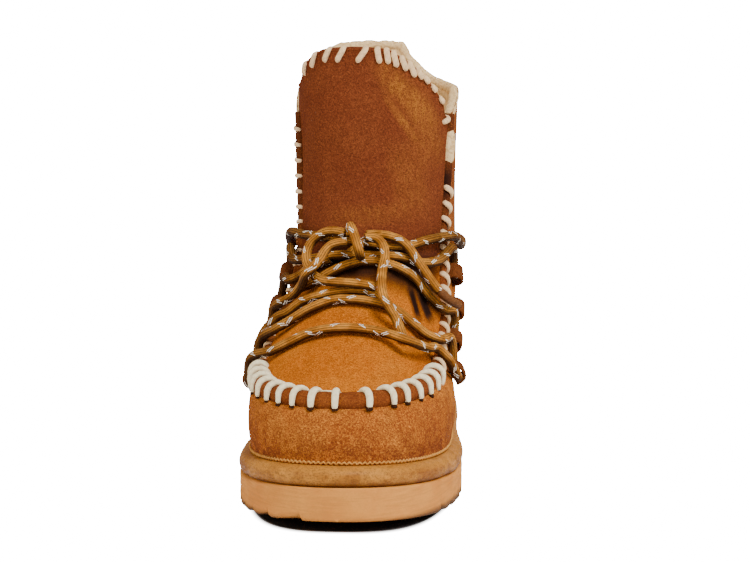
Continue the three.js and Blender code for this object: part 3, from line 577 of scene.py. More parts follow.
def leather(name, dark, base, light):
    s = Shader(name, 0.4, 0.13)
    stretched = s.noise(4, scale=(1, 1, 3))
    pore = s.noise(0.8)
    layers = [
        (light, s.ramp(s.noise(18, 4, warp=0.6), 0.35, 0.65)),
        (dark, s.ramp(stretched, 0.45, 0.75, 0, 0.5)),
        # painted shade on downward-facing surfaces, and a painted highlight on upward-facing ones
        (dark, s.facing_down(0, -0.85), 0.75),
        (light, s.facing_down(0.1, 0.75), 0.55),
        (dark, s.ramp(pore, 0.35, 0.55, 0.45, 0)),
    ]
    s.show(s.layered(base, *layers))
    s.show(s.ramp(stretched, 0.3, 0.7, 0.42, 0.6), "Roughness")
    s.bump(stretched, 0.35, 0.5)
    s.bump(pore, 0.12, 0.8)
    return s


def foam(name, dark, base, light, underside):
    s = Shader(name, 0.8, 0.2)
    layer = s.noise(1.3, scale=(0.06, 0.06, 1))
    grain = s.noise(0.8)
    layers = [
        (light, s.ramp(s.noise(22, 4), 0.35, 0.65)),
        (dark, s.ramp(layer, 0.42, 0.62, 0, 0.3)),
        (dark, s.ramp(grain, 0.4, 0.7, 0, 0.2)),
        # painted shade: the sole's lowest few millimetres are dark
        (underside, s.ramp(s.axis("Z"), 0.003, 0.007, 0.85, 0)),
    ]
    s.show(s.layered(base, *layers))
    s.bump(layer, 0.15, 0.6)
    s.bump(grain, 0.1, 0.5)
    return s


# Colours, dark to light, as linear shares of red, green and blue
TOE = (0.2, 0.042, 0.003), (0.6, 0.155, 0.006), (0.9, 0.315, 0.02)
VAMP = (0.13, 0.026, 0.007), (0.52, 0.14, 0.015), (0.8, 0.3, 0.042)
SHAFT = (0.07, 0.015, 0.006), (0.182, 0.041, 0.014), (0.31, 0.09, 0.025)
ROLL = (0.09, 0.02, 0.006), (0.24, 0.06, 0.012), (0.36, 0.11, 0.02)
LOOP = (0.06, 0.016, 0.005), (0.15, 0.04, 0.01), (0.26, 0.08, 0.018)
EDGE = (0.3, 0.12, 0.02), (0.64, 0.31, 0.075), (0.85, 0.48, 0.15)
# painted shade where the stitches go into the quarter
HOLE_SHADE = (0.02, 0.008, 0.004), (0.045, 0.016, 0.007), (0.07, 0.025, 0.01)
LACE = (0.035, 0.012, 0.004), (0.4, 0.145, 0.017), (0.78, 0.345, 0.06), (1, 0.97, 0.86)
BAND = (0.08, 0.024, 0.005), (0.3, 0.104, 0.014), (0.54, 0.23, 0.036)
# the sole's fourth colour is painted shade for its underside
SOLE = (0.42, 0.16, 0.033), (0.61, 0.232, 0.042), (0.68, 0.288, 0.056), (0.05, 0.03, 0.02)
TIP = (0.06, 0.02, 0.006), (0.14, 0.05, 0.012), (0.2, 0.075, 0.02)
plug_suede = suede("plug_suede", TOE, 1, 0.7, SCUFFS, SHADE_UNDER_LACE)
quarter_suede = suede("quarter_suede", VAMP, 1.15, 1.2, SCUFFS, rust=(0.11, 0.022, 0.011), shaft=SHAFT[1])
panel_suede = suede("panel_suede", SHAFT, 1, 0.55, SCUFFS, SHADE_UNDER_LACE)
roll_suede = suede("roll_suede", ROLL, shade_marks=ROLL_SHADE, underside_shade=0.7, shaft=(0.03, 0.01, 0.006))
loop_suede = suede("loop_suede", LOOP, 0.8)
thread_edge = suede("thread_edge", EDGE, 0.5, 0.4)
hole_shade = suede("hole_shade", HOLE_SHADE)
cream_fleece = fleece("cream_fleece", (0.6, 0.39, 0.17), (0.9, 0.65, 0.34))
toe_yarn = yarn("toe_yarn", (0.75, 0.46, 0.18), (1, 0.92, 0.62))
shaft_yarn = yarn("shaft_yarn", (0.45, 0.24, 0.1), (0.94, 0.66, 0.37))
lace_braid = braid("lace_braid", *LACE)
band_leather = leather("band_leather", *BAND)
sole_foam = foam("sole_foam", *SOLE)
tip_plastic = leather("tip_plastic", *TIP)

# The collar in side view, as shares of the sole's length and of its rise, and its back's drops
COLLAR_LINE = [
    (-0.5, 0), (0.15, 0), (0.2, 0.12), (0.27, 0.34), (0.34, 0.6), (0.41, 0.86), (0.46, 1), (0.6, 1),
]
COLLAR_BACK = [
    (-0.8, 18), (-0.44, 12), (-0.33, 5), (-0.22, 1), (-0.1, 0), (0.05, 0), (0.13, 3),
    (0.2, 10), (0.27, 16), (0.36, 20), (0.8, 27),
]
# The front panel's top: shares of the ball's width from the panel's middle, and drops
PANEL_TOP = [
    (-0.5, 30), (-0.37, 20), (-0.335, 10), (-0.28, 4), (-0.2, 0.8), (-0.08, 0), (0.04, 0.6),
    (0.13, 4), (0.21, 10), (0.28, 18), (0.335, 28), (0.37, 38), (0.5, 44),
]


def over_table(table, x):
    """A smooth line through a table of (place, value)."""
    line = spline(table, 30)
    return np.interp(x, line[:, 0], line[:, 1])


def collar_height(x, y):
    from_side = mix(COLLAR_CORNER, COLLAR_HEIGHT, over_table(COLLAR_LINE, y / SOLE_LENGTH))
    from_back = COLLAR_HEIGHT - over_table(COLLAR_BACK, x / BALL_WIDTH)
    return np.where(y > SOLE_LENGTH * 0.2, np.minimum(from_side, from_back), from_side)


def collar_edge(side, along):
    """The place in the table where the collar's edge lies, for shares along a section."""

    def below(at):
        p = upper_point(at, side, along)
        return p[:, 2] < collar_height(p[:, 0], p[:, 1])

    return halved(along.shape, 5, LAST, below, 40)


def seam_radius(y):
    return mix(SEAM_RADIUS_TOE, SEAM_RADIUS_SHAFT, smoothstep(y / SOLE_LENGTH, -0.22, -0.06))


# The rolled seam's line from the inner side's top round the toe to the outer side's top
medial_line, lateral_line = [np.hstack(edge_places(side, SEAM_TOP)[2:]) for side in (MEDIAL, LATERAL)]
seam_line = np.vstack([medial_line[:0:-1], lateral_line])
seam_spots = lengths_along(seam_line[:, :3])
seam_start = lengths_along(medial_line[:, :3])[-1]
seam_end = seam_spots[-1] - seam_start
# at the toe the roll is a little fuller and further out than its solid
TOE_FULLER = 0.45
TOE_SHIFT = 0.5


def roll_frames(spots):
    """The rolled seam, by millimetres from the toe's middle: its centres, outward normals, the way
    across to the quarters, and radii."""
    goal = np.asarray(spots, float) + seam_start
    row, ahead, behind = [rows_at(goal + step, seam_spots, seam_line) for step in (0, 1.5, -1.5)]
    direction = unit(ahead[..., :3] - behind[..., :3])
    normal = unit(row[..., 3:])
    normal = unit(normal - direction * np.sum(normal * direction, axis=-1, keepdims=True))
    across = np.cross(direction, normal)
    radius = seam_radius(row[..., 1])
    toe = smoothstep(radius, SEAM_RADIUS_SHAFT, SEAM_RADIUS_TOE)
    centre = row[..., :3] + normal * (radius * SEAM_SINK - WALL / 2)[..., None]
    return centre + across * (TOE_SHIFT * toe)[..., None], normal, across, radius + TOE_FULLER * toe


# How far apart the yarn's stitches lie: (millimetres from the toe's middle, pitch)
PITCH = {
    LATERAL: [(0, 14), (13, 12), (25, 9.4), (32, 9.6), (42, 12.5), (90, 13), (100, 8.2)],
    MEDIAL: [(0, 10), (11, 9), (20, 9), (28, 9.4), (38, 12), (90, 12.5), (100, 8.2)],
}


def stitch_spots(side):
    end = seam_end if side > 0 else seam_start
    spots, spot = [], 0
    while spot < end - 3:
        spots.append(side * spot - 1)
        spot += np.interp(spot, *zip(*PITCH[side]))
    return spots


# Heights between which fleece shows at the outer seam, and above which the seam has no stitches
FLEECE_STRIP = (153, 176)
BARE_SEAM = 147
stitches = np.array(sorted(set(stitch_spots(LATERAL) + stitch_spots(MEDIAL))))
stitches = stitches[(stitches < 0) | (roll_frames(stitches)[0][:, 2] < BARE_SEAM)]


def pinch(spot, width=1.9):
    """1 under a stitch, 0 between stitches."""
    return bell(np.min(np.abs(np.asarray(spot)[..., None] - stitches), axis=-1) / width)


# Soft troughs: place along the boot, height, slant in degrees, length, width, depth
CREASES = {
    LATERAL: [
        (-6, 78, 38, 26, 5, 1.5), (10, 92, 24, 22, 5, 1.3), (26, 104, 8, 26, 6, 1.2),
        (60, 96, -14, 26, 6, 1), (-60, 48, 62, 13, 5, 0.9), (84, 70, -28, 24, 7, 0.9),
        (40, 140, 12, 24, 8, 1),
    ],
    MEDIAL: [
        (-8, 76, 40, 24, 5, 1.5), (12, 94, 26, 24, 5, 1.3), (30, 106, 6, 26, 6, 1.2),
        (66, 92, -16, 24, 6, 1), (-66, 46, 58, 12, 5, 0.9), (88, 66, -26, 24, 7, 0.9),
        (46, 146, -8, 22, 8, 1),
    ],
}


def creased(p, side):
    """How far the quarters' surface sinks in its creases and swells beside them."""
    depth = 0.7 * undulation(p, 55, 3)
    for y, z, slant, reach, width, deep in CREASES[side]:
        along, across = slanted(p[..., 1] - y, p[..., 2] - z, slant)
        across = across - 0.012 * along**2
        ridge = 0.5 * bell((across - width * 1.3) / width)
        depth += bell(along / reach) * deep * (ridge - bell(across / (width * 0.7)))
    return depth


# The quarters
QUARTER_ROWS = 110
NO_SEAM = 1e4


def quarter(side, name):
    """One side's suede and lining, in rows from the feather line up to the throat and the collar."""
    at, along, points, _ = edge_places(side, SEAM_TOP)
    reach = lengths_along(points)
    goal = np.linspace(0, reach[-1], int(reach[-1] / 1.5))
    at, along = np.interp(goal, reach, at), np.interp(goal, reach, along)
    collar_along = np.linspace(along[-1], 1, 70)[1:]
    edge_at = np.concatenate([at, collar_edge(side, collar_along)])
    edge_along = np.concatenate([along, collar_along])
    share = lengths_along(upper_point(edge_at, side, edge_along))
    shares = np.linspace(0, 1, 800) ** 1.5
    bottom = lengths_along(upper_point(0.0, side, shares))
    bottom_along = np.interp(share / share[-1] * bottom[-1], bottom, shares)
    t = np.linspace(0, 1, QUARTER_ROWS)[:, None]
    points, normals = upper_frame(edge_at * t, side, mix(bottom_along, edge_along, t))
    from_bottom = lengths_along(points)
    from_edge = from_bottom[-1] - from_bottom
    spots = np.concatenate([goal * side, np.full(len(collar_along), NO_SEAM)])
    pucker = np.exp(-from_edge / 5) * (0.5 - 1.5 * pinch(spots, 2.4)) * (spots < NO_SEAM)
    settled = smoothstep(from_bottom, 0, 12) * smoothstep(from_edge, 2, 14)
    depth = creased(points, side) * settled + pucker + 0.7 * bell(from_bottom / 2.2)
    outside = grid(points + normals * depth[..., None], flip=side < 0)
    mesh_piece(name, outside, quarter_suede, "upper")
    wool = 0.5 * undulation(points, 7, 11) + 0.25 * undulation(points, 3, 12)
    inside = grid(points - normals * (WALL - 0.3 + wool)[..., None], flip=side > 0)
    mesh_piece(name + "_lining", inside, cream_fleece, "upper")


quarter(LATERAL, "quarter_lateral")
quarter(MEDIAL, "quarter_medial")

spots = np.arange(0.5 - seam_start, seam_end - 0.5, 0.9)
centre, normal, across, radius = roll_frames(spots)
swell = radius * (1.02 - 0.13 * pinch(spots)) + 0.16 * undulation(centre, 9, 5)
mesh_piece("rolled_seam", sweep(centre, across, normal, swell, swell, 20), roll_suede, "upper")


# Yarn stitches
def strand(path, outward, width, thick, taper):
    """A flattened strand of yarn along a path. outward is the side that shows."""
    tangent = unit(np.gradient(path, axis=0))
    sideways = unit(np.cross(tangent, outward))
    outward = np.cross(sideways, tangent)
    yarn_tube = sweep(path, sideways, outward, width / 2 * taper, thick / 2 * taper, 12)
    return woolly(yarn_tube, 0.1 * unit(np.ones(3)), 2.2, 71)


def whip(spot, bend, tilt, width, thick, reach=(4, 190), tail=0.0):
    """One stitch over the roll, from the quarter's side to the panel's. `bend` is how far its ends
    fall back along the seam, `tilt` how far the panel's end runs ahead of the quarter's, `reach` its
    ends' angles round the roll, and `tail` how far it lies on the quarter."""
    t = np.linspace(0, 1, 17)
    fall = bend * (np.abs(2 * t - 1) ** 1.7) - tilt * (t - 0.5)
    centre, normal, across, radius = roll_frames(spot - fall)
    angle = np.radians(mix(*reach, t))[:, None]
    outward = across * np.cos(angle) + normal * np.sin(angle)
    arch = np.sin(math.pi * t) ** 0.45
    path = centre + outward * (radius * 0.92 + thick * 0.42 * arch - 0.5 * (1 - arch))[:, None]
    path = path + across * (tail * np.maximum(0, 1 - t / 0.2) ** 1.5)[:, None]
    return strand(path, outward, width, thick, 0.6 + 0.4 * np.sin(math.pi * t) ** 0.4)


def needle_hole_shade(spot):
    """A small dark blob where a stitch goes into the quarter, below the roll: painted shade."""
    centre, normal, across, radius = roll_frames(spot + np.linspace(-1.5, 1.5, 7))
    path = centre + across * (radius * 0.92 + STITCH_TAIL + 0.2)[:, None] + normal * 0.35
    size = 0.85 + 0.25 * math.sin(spot * 2.7)
    taper = np.sqrt(np.maximum(0.04, 1 - np.linspace(-1, 1, 7) ** 2))
    return strand(path, unit(across * 0.3 + normal), 2.6 * size, 1.7 * size, taper)


# How far from its middle the toe has the thick stitches, how far they lie on the quarter, and where
# the yarn runs on between them
TOE_REACH = 95
STITCH_TAIL = 1.9
RUNNING = (-25, 13)
rng = np.random.default_rng(21)
near_toe, up_shaft, hole_shades = [], [], []
for spot in stitches:
    side = 1 if spot > 0 else -1
    if abs(spot) < TOE_REACH:
        settle = smoothstep(abs(spot), 2, 26)
        bend = side * settle * rng.uniform(1.6, 2.4)
        tilt = -side * settle * rng.uniform(1.2, 2.4)
        width = mix(3.6, 4.6, smoothstep(abs(spot), 28, 45)) * rng.uniform(0.92, 1.08)
        near_toe.append(whip(spot, bend, tilt, width, 2.9, tail=STITCH_TAIL))
        hole_shades.append(needle_hole_shade(spot - bend - tilt / 2))
    elif side > 0:
        up_shaft.append(whip(spot, 0, rng.uniform(5.2, 6.4), 3.5, 2.2, (-20, 170)))
    else:
        up_shaft.append(whip(spot, 0.3, rng.uniform(1.5, 2.5), 2.3, 1.3, (10, 170)))

run = np.linspace(*RUNNING, 60)
centre, normal, across, radius = roll_frames(run)
angle = np.radians(158 + 12 * np.sin(run / 3.4))[:, None]
outward = across * np.cos(angle) + normal * np.sin(angle)
path = centre + outward * (radius * 1.02 + 0.5)[:, None]
near_toe.append(strand(path, outward, 1.7, 1.4, np.ones(60)))
mesh_piece("toe_stitches", joined(near_toe), toe_yarn)
mesh_piece("needle_hole_shades", joined(hole_shades), hole_shade)
mesh_piece("shaft_stitches", joined(up_shaft), shaft_yarn)


# The toe's plug and the front panel are grids of columns between the throat's edges, and meet at
# this height
SPLIT = 112
COLUMN_PLACES = np.linspace(-1, 1, 121)
COLUMN_SIDES = np.where(COLUMN_PLACES < 0, MEDIAL, LATERAL)
# Folds on the plug's outer side: (across, height, slant in degrees, length, width, depth)
FOLDS = [
    (29.1, 91.8, -69, 9, 2.1, 1.8), (34.4, 89.5, -65, 7.5, 2, 1.7), (20, 105, -50, 9, 2.2, 0.8),
    (-26, 92, 58, 10, 2.4, 0.8), (2, 87, 3, 18, 3.4, 0.5),
]


def between_edges(y, z):
    at, along = place_at(COLUMN_SIDES, y, z)
    return upper_frame(at, COLUMN_SIDES, along * COLUMN_PLACES**2)


def panel_top(x):
    return PANEL_HEIGHT - over_table(PANEL_TOP, (x - HEEL_SHIFT) / BALL_WIDTH)


def plug_relief(points):
    """The plug's gentle swells, and its folds under the lace."""
    left = np.linalg.norm(points - points[:, :1], axis=2)
    from_edge = np.minimum(left, np.linalg.norm(points - points[:, -1:], axis=2))
    inward = smoothstep(from_edge, 1.5, 6)
    relief = 0.35 * undulation(points, 30, 8) * smoothstep(from_edge, 4, 14)
    for x, z, slant, length, width, depth in FOLDS:
        along, across = slanted(points[..., 0] - x, points[..., 2] - z, slant)
        ridge = 0.45 * bell((np.abs(across) - width * 1.2) / width)
        fade = np.exp(-((along / length) ** 4)) * inward * depth
        relief += fade * (ridge - bell(across / (width * 0.6)))
    return relief


# the plug's rows lie close together at the toe, where the throat's edge is nearly level
throat_low = THROAT[np.flatnonzero(place_at(MEDIAL, THROAT[:, 0], THROAT[:, 1])[1] > 0)[0]]
plug_line = resample(THROAT[(THROAT[:, 0] >= throat_low[0]) & (THROAT[:, 1] <= SPLIT)], 110)
plug_points, plug_normals = between_edges(plug_line[:, :1], plug_line[:, 1:])
plug_points = plug_points + plug_normals * (plug_relief(plug_points) - 0.2)[..., None]
mesh_piece("toe_plug", grid(plug_points), plug_suede, "tongue")

share = np.linspace(0, 1, 120)[:, None]
top = 150
for _ in range(4):
    height = mix(SPLIT - 1, top, share) + COLUMN_PLACES * 0
    shin_points, shin_normals = between_edges(np.interp(height, THROAT[:, 1], THROAT[:, 0]) - GAP, height)
    top = panel_top(shin_points[-1, :, 0])
middle = lengths_along(shin_points[:, 60])
shin_depth = 0.5 * undulation(shin_points, 45, 9) * smoothstep(middle[-1] - middle, 2, 20)[:, None]
shin_points = shin_points + shin_normals * (shin_depth - 0.1)[..., None]
mesh_piece("shin_panel", grid(shin_points), panel_suede, "tongue")
inside = np.concatenate([plug_points[::2] - plug_normals[::2] * WALL, shin_points - shin_normals * WALL])
mesh_piece("panel_lining", grid(inside, flip=True), cream_fleece, "tongue")

# The panel's free top edge: a narrow rolled hem, and the stitches over it
hem = shin_points[-1, :, 2] > COLLAR_CORNER - 3
hem_line, hem_normals = shin_points[-1, hem], shin_normals[-1, hem]
hem_inward = unit(shin_points[-8, hem] - hem_line)
hem_path = hem_line - hem_normals * (WALL / 2)
hem_tube = sweep(hem_path, hem_normals, -hem_inward, WALL / 2 + 0.35, 1.5, 16)
mesh_piece("panel_hem", hem_tube, panel_suede, "tongue")

# The hem's stitches: where each crosses the hem, and how far its lower end lies across and below
HEM_STITCHES = [
    (-28.6, -0.6, -5.4), (-23.4, -1.6, -6.2), (-16.2, -2.4, -5.8), (-9, -3.4, -6.2),
    (2, -4.4, -6.2), (7.9, 1.2, -6.2), (12.4, 1, -5.9), (15.8, 1.6, -6.2),
    (19.8, 2.2, -5.4), (23.5, 2.6, -6), (27.4, 2, -3.4), (30.8, 1.3, -1.8),
    (34.2, 1.2, -1.6), (37.6, 1, -1.6), (40.9, -2.2, -1.2),
]
crossed, across, below = np.array(HEM_STITCHES).T[..., None]
hem_rows = np.hstack([hem_line, hem_inward, hem_normals])
hem_spots = lengths_along(hem_path)
hem_rows = rows_at(np.interp(crossed[:, 0], hem_path[:, 0], hem_spots), hem_spots, hem_rows)
# each from the panel's front up over the hem and down behind it
t = np.linspace(0, 0.9, 8)
point, normal = front_at(hem_rows[:, :1] + across * (1 - t), hem_rows[:, 2:3] + below * (1 - t))
fronts = point + normal * np.interp(t, [0, 0.15, 1], [-0.9, 0.75, 0.85])[:, None]
turned = np.linspace(0, 1, 30)[:, None]
whips = []
for front, row in zip(fronts, hem_rows):
    top, down, out = row.reshape(3, 3)
    over = [
        top - down * 0.5 + out * 0.4,
        top - down * 1.3 - out * WALL / 2,
        top - down * 0.6 - out * (WALL + 0.2),
        top + down * 3 - out * (WALL + 0.7),
    ]
    path = resample(spline(np.vstack([front, over])), 30)
    shown = unit(out * np.interp(turned, [0, 0.6, 0.75, 1], [1, 1, 0, -1]) - down * (turned > 0.5) * 0.6)
    whips.append(strand(path, shown, 3.1, 2.2, np.minimum(1, 0.5 + 4 * turned[:, 0])))
mesh_piece("hem_stitches", joined(whips), shaft_yarn)


# The fleece over the collar's edge
def collar_rim(side):
    along = np.linspace(edge_places(side, SEAM_TOP)[1][-1] + 0.02, 1, 130)
    points, normals = upper_frame(collar_edge(side, along), side, along)
    return points - normals * (WALL / 2 + 0.4)


rim = resample(np.vstack([collar_rim(MEDIAL), collar_rim(LATERAL)[-2::-1]]), 300)
rim[:, 2] -= 2.3
radius = WALL / 2 + 0.9 + 0.25 * undulation(rim, 9, 31)
collar_roll = woolly(round_tube(rim, radius), (0.1, 0.1, 0.25), 3.2, 32)
# fleece shows at the seam's top on the outer side too, where the stitches stop
centre, normal, across, radius = roll_frames(np.arange(TOE_REACH, seam_end, 0.8))
shown = (centre[:, 2] > FLEECE_STRIP[0]) & (centre[:, 2] < FLEECE_STRIP[1])
strip = (centre + normal * 0.5)[shown]
taper = np.clip(2.2 * (1 - np.abs(np.linspace(-1, 1, len(strip)))), 0.01, 1) ** 0.6
radius = (radius[shown] + 0.75) * taper * (1 + 0.06 * undulation(strip, 7, 33))
strip_roll = woolly(round_tube(strip, radius), (0.25, 0.1, 0.1), 3.2, 34)
mesh_piece("collar_fleece", joined([collar_roll, strip_roll]), cream_fleece)

# The pinked edge of the suede over the wrapped band
PINKING = 2.4
shares = eased(400)
outer, inner = [np.hstack(upper_frame(0.1, side, shares)) for side in (LATERAL, MEDIAL)]
edge = np.vstack([outer[::-1], inner[:-1]])
edge = resample(edge, int(lengths_along(edge[:, :3])[-1] / PINKING) * 2 + 1)
tooth = np.where(np.arange(len(edge)) % 2, 0.7, -0.6)
path = edge[:, :3] + edge[:, 3:] * (0.75 + 0.3 * tooth)[:, None]
path[:, 2] += tooth + 0.5
mesh_piece("pinked_edge", round_tube(resample(path, 1600), 0.48, 7), thread_edge, "upper")


# The sole
def sole_ring(inset, shares):
    """The sole's outline as a closed ring, moved inwards."""
    outer = np.column_stack(outline_point(SOLE_FORM, np.array(LATERAL), shares))
    inner = np.column_stack(outline_point(SOLE_FORM, np.array(MEDIAL), shares[1:-1]))
    ring = np.vstack([outer, inner[::-1]])
    step = np.roll(ring, -1, axis=0) - np.roll(ring, 1, axis=0)
    return ring + unit(np.column_stack([-step[:, 1], step[:, 0]])) * inset


def sole_top(y):
    return OUTSOLE_HEIGHT + bed_lift(y)


def capped(rings):
    """A closed skin over rings, its ends filled towards the boot's middle line."""
    low, high = rings[0].copy(), rings[-1].copy()
    low[:, 0] = foot_centre(low[:, 1])
    high[:, 0] = foot_centre(high[:, 1])
    return np.stack([low, mix(low, rings[0], 0.7), *rings, mix(high, rings[-1], 0.7), high])


# The band's bulge from its foot to its top: (inset, share of its height), and how much each wrinkles
BAND_STEPS = [
    (4.9, 0), (1.9, 0), (1.3, 0.03), (0.35, 0.12), (-0.15, 0.26), (-0.4, 0.42), (-0.25, 0.57),
    (0.25, 0.7), (1.1, 0.82), (2.5, 0.92), (4.2, 0.985), (6.2, 1),
]
BAND_WRINKLES = np.array([0, 0, 0.3, 1, 1, 1, 1, 1, 1, 1, 0.5, 0])
rings = []
for inset, rise in BAND_STEPS:
    ring = sole_ring(inset, eased(190))
    rings.append(np.column_stack([ring, sole_top(ring[:, 1]) + GAP + rise * (MIDSOLE_HEIGHT - GAP)]))
rings = np.array(rings)
wrinkled = undulation(rings, 16, 41) * 0.22 + undulation(rings, 6, 42) * 0.1
rings[..., 2] += wrinkled * BAND_WRINKLES[:, None]
mesh_piece("wrapped_band", grid(capped(rings), closed=True), band_leather, "midsole")

# The outsole's tread is a height over the floor with saw-toothed grooves. Rows run across.
GROOVES = np.arange(-SOLE_LENGTH * 0.485, SOLE_LENGTH * 0.48, LUG_PITCH)
GROOVES = GROOVES[(GROOVES + LUG_PITCH <= SOLE_LENGTH * 0.02) | (GROOVES >= SOLE_LENGTH * 0.18)]


def groove(x, y):
    """How deep the tread is cut at a point. The foremost grooves are on the inner side alone."""
    depth = np.zeros(np.broadcast(x, y).shape)
    for start in GROOVES:
        cut = (y >= start) & (y < start + LUG_SLOPE)
        if start < -SOLE_LENGTH * 0.37:
            cut = cut & (x <= -LUG_PITCH)
        depth = np.maximum(depth, LUG_DEPTH * (1 - (y - start) / LUG_SLOPE) * cut)
    return depth


HALF = SOLE_LENGTH / 2
edges = np.concatenate([[start - 0.15, start + 0.15, start + LUG_SLOPE] for start in GROOVES])
rows = np.unique(np.concatenate([np.linspace(-HALF, HALF, 260), edges[np.abs(edges) < HALF - 0.5]]))
end = 0.6 * np.linspace(0, 1, 8)[:-1] ** 2
rows = np.concatenate([end - HALF, rows[np.abs(rows) < HALF - 0.6], HALF - end[::-1]])[:, None]
shares = rows / SOLE_LENGTH + 0.5
outer_x, inner_x = [outline_point(SOLE_FORM, np.array(side), shares)[0] for side in (LATERAL, MEDIAL)]
# across: the tread from the inner to the outer side, up the outer wall, back over the top, down
SIDE_STEPS = np.array([0, 0.05, 0.16, 0.28, 0.4, 0.52, 0.64, 0.76, 0.88, 0.97, 1])
FINE_LINES = 2.6
span = outer_x - inner_x
chamfer = np.minimum(SOLE_EDGE, span / 2)


def sole_wall(edge_x, inward):
    low = tread_height(rows) + SOLE_EDGE + groove(edge_x, rows)
    z = mix(low, sole_top(rows) - SOLE_EDGE / 2, SIDE_STEPS)
    line = 0.16 * np.sin(z * 2 * math.pi / FINE_LINES) * smoothstep(SIDE_STEPS, 0.02, 0.15)
    x = edge_x + inward * (0.1 - line) * np.minimum(1, span / 20)
    return stacked(x, rows, z)


tread_x = mix(inner_x + chamfer, outer_x - chamfer, np.linspace(0, 1, 41))
tread = stacked(tread_x, rows, tread_height(rows) + groove(tread_x, rows))
lid_x = mix(outer_x - chamfer / 2, inner_x + chamfer / 2, np.linspace(0, 1, 9))
lid = stacked(lid_x, rows, sole_top(rows))
skin = np.concatenate([tread, sole_wall(outer_x, -1), lid, sole_wall(inner_x, 1)[:, ::-1]], axis=1)
mesh_piece("foam_sole", grid(skin, closed=True, flip=True), sole_foam, "outsole")

# The foot bed's edge from its foot to its top: (inset, share of its height)
BED_STEPS = [(0, GAP / INSOLE_HEIGHT), (0, 0.7), (0.6, 0.93), (1.8, 1)]
rings = []
for inset, rise in BED_STEPS:
    outer = np.hstack(upper_frame(0.0, LATERAL, eased(90)))
    inner = np.hstack(upper_frame(0.0, MEDIAL, eased(90)[1:-1]))
    edge = np.vstack([outer, inner[::-1]])
    ring = edge[:, :3] - edge[:, 3:] * (WALL + GAP + inset)
    ring[:, 2] = BED_HEIGHT + bed_lift(ring[:, 1]) + rise * INSOLE_HEIGHT
    rings.append(ring)
bed = capped(np.array(rings))
bed[-3:, :, 2] += 0.5 * undulation(bed[-3:], 9, 51)
mesh_piece("foot_bed", grid(bed, closed=True), cream_fleece, "insole")

# The lace loops: shares along the throat's line on each side, and the distance outside it
LOOP_PLACES = {MEDIAL: (0.322, 0.41, 0.48, 0.55), LATERAL: (0.338, 0.41, 0.48, 0.55)}
LOOP_AWAY = (12.6, 8.6, 8.4, 8.4)
LOOP_HOLE = LACE_DIAMETER / 2 + LOOP_PLAY
LOOP_ARCH = LACE_DIAMETER / 2 + LOOP_SLACK
LOOP_STAND = LACE_DIAMETER / 2 + GAP * 1.5


def loop_frame(side, number):
    """The loop's seat, its direction out of the quarter, along its hole and across its feet."""
    away = LOOP_AWAY[number]
    (y, z), (ty, tz) = throat_at(LOOP_PLACES[side][number])
    seat, out = upper_at(side, y + tz * away, z - ty * away)
    tangent = np.array([0, ty, tz])
    hole = unit(tangent - out * np.dot(tangent, out))
    return seat, out, hole, np.cross(out, hole)


def lace_loop(side, number, name):
    """A folded strap: a rounded oblong swept over an arch, its feet on the quarter."""
    seat, out, hole, across = loop_frame(side, number)
    half = LOOP_STRAP / 2
    turn = np.linspace(0, math.pi, 25)
    rise = LOOP_STAND + (LOOP_ARCH + half) * np.sin(turn)
    arch = np.column_stack([(LOOP_HOLE + half) * np.cos(turn), rise])
    foot = np.column_stack([np.full(4, LOOP_HOLE + half), np.linspace(0.1, LOOP_STAND, 5)[:-1]])
    flat = np.vstack([foot, arch, foot[::-1] * [-1, 1]])
    path = seat + flat[:, :1] * across + flat[:, 1:] * out
    outward = unit(np.gradient(flat, axis=0)) @ np.array([[0, -1], [1, 0]])
    thick = outward[:, :1] * across + outward[:, 1:] * out
    wide = LOOP_WIDTH / 2 * (1 + 0.05 * undulation(path, 6, 61))
    strap = sweep(path, hole, thick, wide, half, 28, 0.42)
    mesh_piece("loop_strap_" + name, strap, loop_suede, "lace_loop_" + name)


for side, word in ((MEDIAL, "medial"), (LATERAL, "lateral")):
    for number in range(4):
        lace_loop(side, number, f"{word}_{number + 1}")

# The lace's routes, as in the part's source
STAND_OFF = LACE_DIAMETER / 2 + GAP * 3


def over_front(rows):
    """A cord's points over the front: distance from the middle, height and lift."""
    x, z, lift = np.array([(*row, 0)[:3] for row in rows], float).T
    points, normals = front_at(x, z)
    return points + normals * (STAND_OFF + lift)[:, None]


def over_seam(side, along):
    point, normal = upper_at(side, *throat_at(along)[0])
    return point + normal * (STAND_OFF + seam_radius(point[1]) * (1 + SEAM_SINK) - WALL / 2)


def over_seam_at(side, height):
    return over_seam(side, np.interp(height, THROAT[:, 1], np.linspace(0, 1, len(THROAT))))


def round_shaft(side, along, z):
    point, normal = upper_frame(place_at(side, 0.0, z)[0], side, along)
    return point + normal * STAND_OFF


def into_loop(side, number, end):
    seat, out, hole, _ = loop_frame(side, number)
    middle = seat + out * LOOP_STAND
    mouth = middle + hole * end * LOOP_WIDTH * 0.8
    start = over_seam(side, LOOP_PLACES[side][number] + end * 0.036)
    return [start, mouth, middle - hole * end * LACE_DIAMETER * 0.4]


